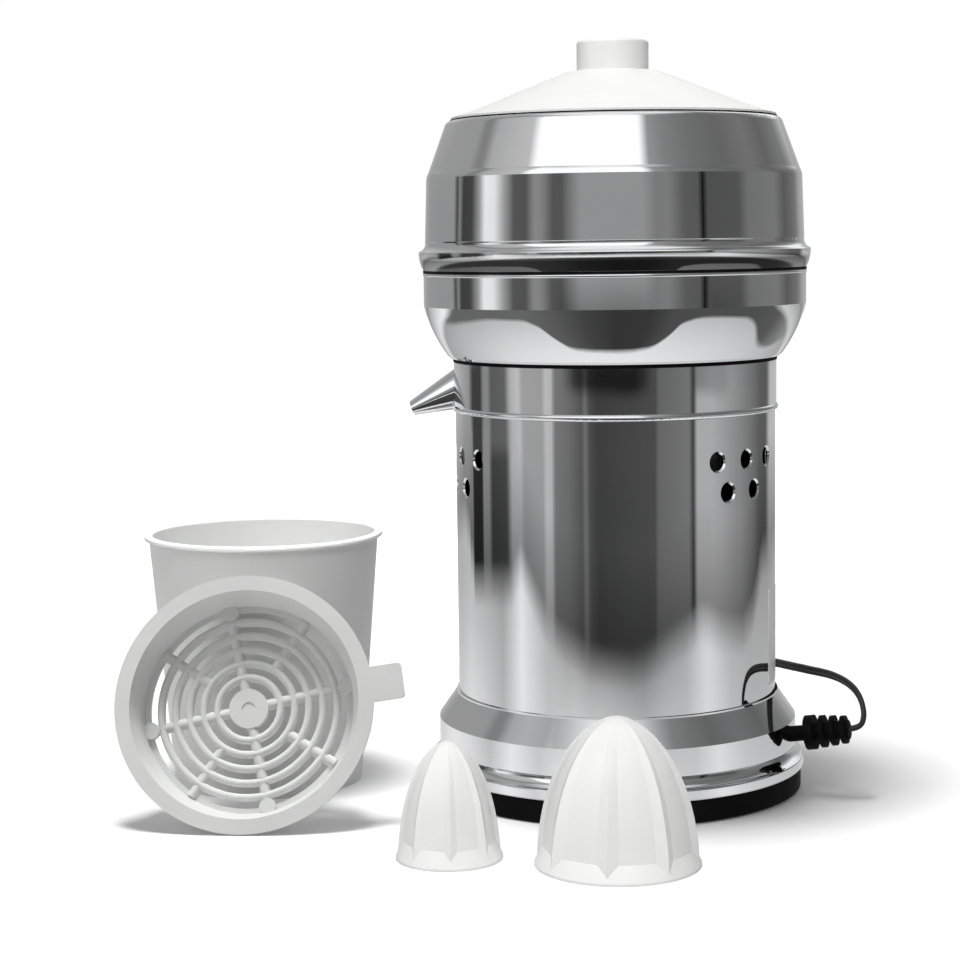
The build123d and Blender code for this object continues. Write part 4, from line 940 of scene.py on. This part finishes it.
def panel_ring(tree, share, stops, blend):
    """A ring of panels: a value that changes with the angle."""
    node = add_node(tree, "ShaderNodeValToRGB", {0: share})
    node.color_ramp.interpolation = blend
    elements = node.color_ramp.elements
    while len(elements) < len(stops):
        elements.new(0.5)
    for element, (angle, value) in zip(elements, stops):
        element.position = (angle + 180) / 360
        element.color = grey(value)
    return node.outputs["Color"]


def studio_rings(tree, x, y):
    """All rings of panels, by name, around the upright axis."""
    turn = math_node(tree, "ARCTAN2", x, math_node(tree, "MULTIPLY", y, -1.0))
    share = mapped(tree, turn, -math.pi, math.pi)
    rings = {}
    for name, stops in panels.items():
        blend = "B_SPLINE" if name in rounded_panels else "LINEAR"
        rings[name] = panel_ring(tree, share, stops, blend)
    return rings


def studio_reflection(tree):
    """What the metal reflects, from straight down to straight up."""
    way = add_node(tree, "ShaderNodeTexCoord").outputs["Generated"]
    x, y, up = add_node(tree, "ShaderNodeSeparateXYZ", {0: way}).outputs
    down = math_node(tree, "MULTIPLY", up, -1.0)
    ring = studio_rings(tree, x, y)

    # The floor in front of the table, and what lies under the bowl
    nadir = mixed(tree, mapped(tree, down, *nadir_band), dim, white)
    past_under = math_node(tree, "SUBTRACT", down, ring["under_depth"])
    under = mixed(tree, mapped(tree, past_under, *under_edge), ring["under"], nadir)
    shade = mapped(tree, down, *floor_shade_band, ring["floor_shade"], 0.0)
    near_floor = mixed(tree, shade, ring["floor"], black)
    near_floor = mixed(tree, mapped(tree, down, *under_band), near_floor, under)

    # The table's side
    past_table = math_node(tree, "SUBTRACT", down, ring["floor_depth"])
    shade = mapped(tree, past_table, *table_shade_band, 0.0, table_shade)
    table = mixed(tree, shade, ring["table"], black)
    gap = math_node(tree, "MULTIPLY", ring["gap"], mapped(tree, down, *gap_band, gap_shade, 0.0))
    table = mixed(tree, gap, table, black)
    block = math_node(tree, "MULTIPLY", ring["block"], mapped(tree, down, *block_band, 0.0, block_shade))
    table = mixed(tree, block, table, black)
    lower = mixed(tree, mapped(tree, past_table, *floor_edge), table, near_floor)

    # The walls, the light boxes, the ceiling and the white above
    shade = math_node(tree, "MULTIPLY", ring["gap"], mapped(tree, down, *wall_shade_band, 0.0, wall_shade))
    wall = mixed(tree, shade, ring["wall"], black)
    upper = mixed(tree, mapped(tree, up, *wall_band), lower, wall)
    upper = mixed(tree, mapped(tree, up, *box_band), upper, ring["light_boxes"])
    upper = mixed(tree, mapped(tree, up, *ceiling_band), upper, ring["ceiling"])
    return mixed(tree, mapped(tree, up, *zenith_band), upper, white)


def background(tree, colour, strength):
    """One background of the world."""
    return add_node(tree, "ShaderNodeBackground", {"Color": colour, "Strength": strength}).outputs[0]


def mixed_light(tree, share, first, second):
    """Two backgrounds mixed by a share."""
    return add_node(tree, "ShaderNodeMixShader", {0: share, 1: first, 2: second}).outputs[0]


def set_world():
    """A studio: white to the camera, even for soft light, and rings of panels for the metal to reflect."""
    world = bpy.data.worlds.new("studio")
    bpy.context.scene.world = world
    world.use_nodes = True
    tree = world.node_tree
    tree.nodes.clear()
    rays = add_node(tree, "ShaderNodeLightPath").outputs
    reflected = background(tree, studio_reflection(tree), 1.0)
    soft = background(tree, white, soft_strength)
    seen = background(tree, white, 1.0)
    lit = mixed_light(tree, rays["Is Glossy Ray"], soft, reflected)
    both = mixed_light(tree, rays["Is Camera Ray"], lit, seen)
    add_node(tree, "ShaderNodeOutputWorld", {"Surface": both})


def light_group(name, pieces, state):
    """The pieces that a light reaches (INCLUDE) or passes by (EXCLUDE)."""
    group = bpy.data.collections.new(name)
    for piece in pieces:
        group.objects.link(piece)
    for member in group.collection_objects:
        member.light_linking.link_state = state
    return group


def add_light(name, place, target, size, power, reach=None):
    """A soft square light that neither the camera nor the metal sees: metres and watts."""
    data = bpy.data.lights.new(name, "AREA")
    data.shape = "SQUARE"
    data.size = size
    data.energy = power
    light = bpy.data.objects.new(name, data)
    bpy.context.scene.collection.objects.link(light)
    light.location = place
    light.rotation_mode = "QUATERNION"
    light.rotation_quaternion = (Vector(target) - Vector(place)).to_track_quat("-Z", "Y")
    light.visible_camera = False
    light.visible_glossy = False
    if reach:
        light.light_linking.receiver_collection = reach


floor = make_floor()
set_world()

# The panels stand for all that the metal reflects, so the loose pieces don't show in it
for name in "cup cup_bead sieve large_reamer large_reamer_bush small_reamer small_reamer_bush".split():
    nodes[name].visible_glossy = False

# The cup, the sieve and the floor are lit mostly from above, the rest more from the front
cup, bead, sieve = nodes["cup"], nodes["cup_bead"], nodes["sieve"]
table_group = light_group("table", [cup, bead, sieve, floor], "INCLUDE")
front_group = light_group("front", [cup, sieve, floor], "EXCLUDE")
cup_group = light_group("cup", [cup], "INCLUDE")
machine_middle = (0, 0, 0.1)
upper_middle = (0, 0, 0.15)
cup_middle = (-0.15, 0, 0.1)
add_light("top light", (-0.3, -0.05, 2.0), machine_middle, size=0.35, power=12)
add_light("table light", (-0.2, -0.1, 2.0), cup_middle, size=0.5, power=31, reach=table_group)
add_light("front light", (0.1, -1.5, 1.4), machine_middle, size=0.9, power=25, reach=front_group)
add_light("cup light", (-0.1, -1.1, 1.8), cup_middle, size=0.9, power=13, reach=cup_group)
add_light("left light", (-1.4, -0.9, 0.9), upper_middle, size=0.9, power=4)
add_light("rear light", (0.5, 1.7, 1.2), machine_middle, size=1.2, power=8)
bpy.context.scene.view_settings.view_transform = "Standard"
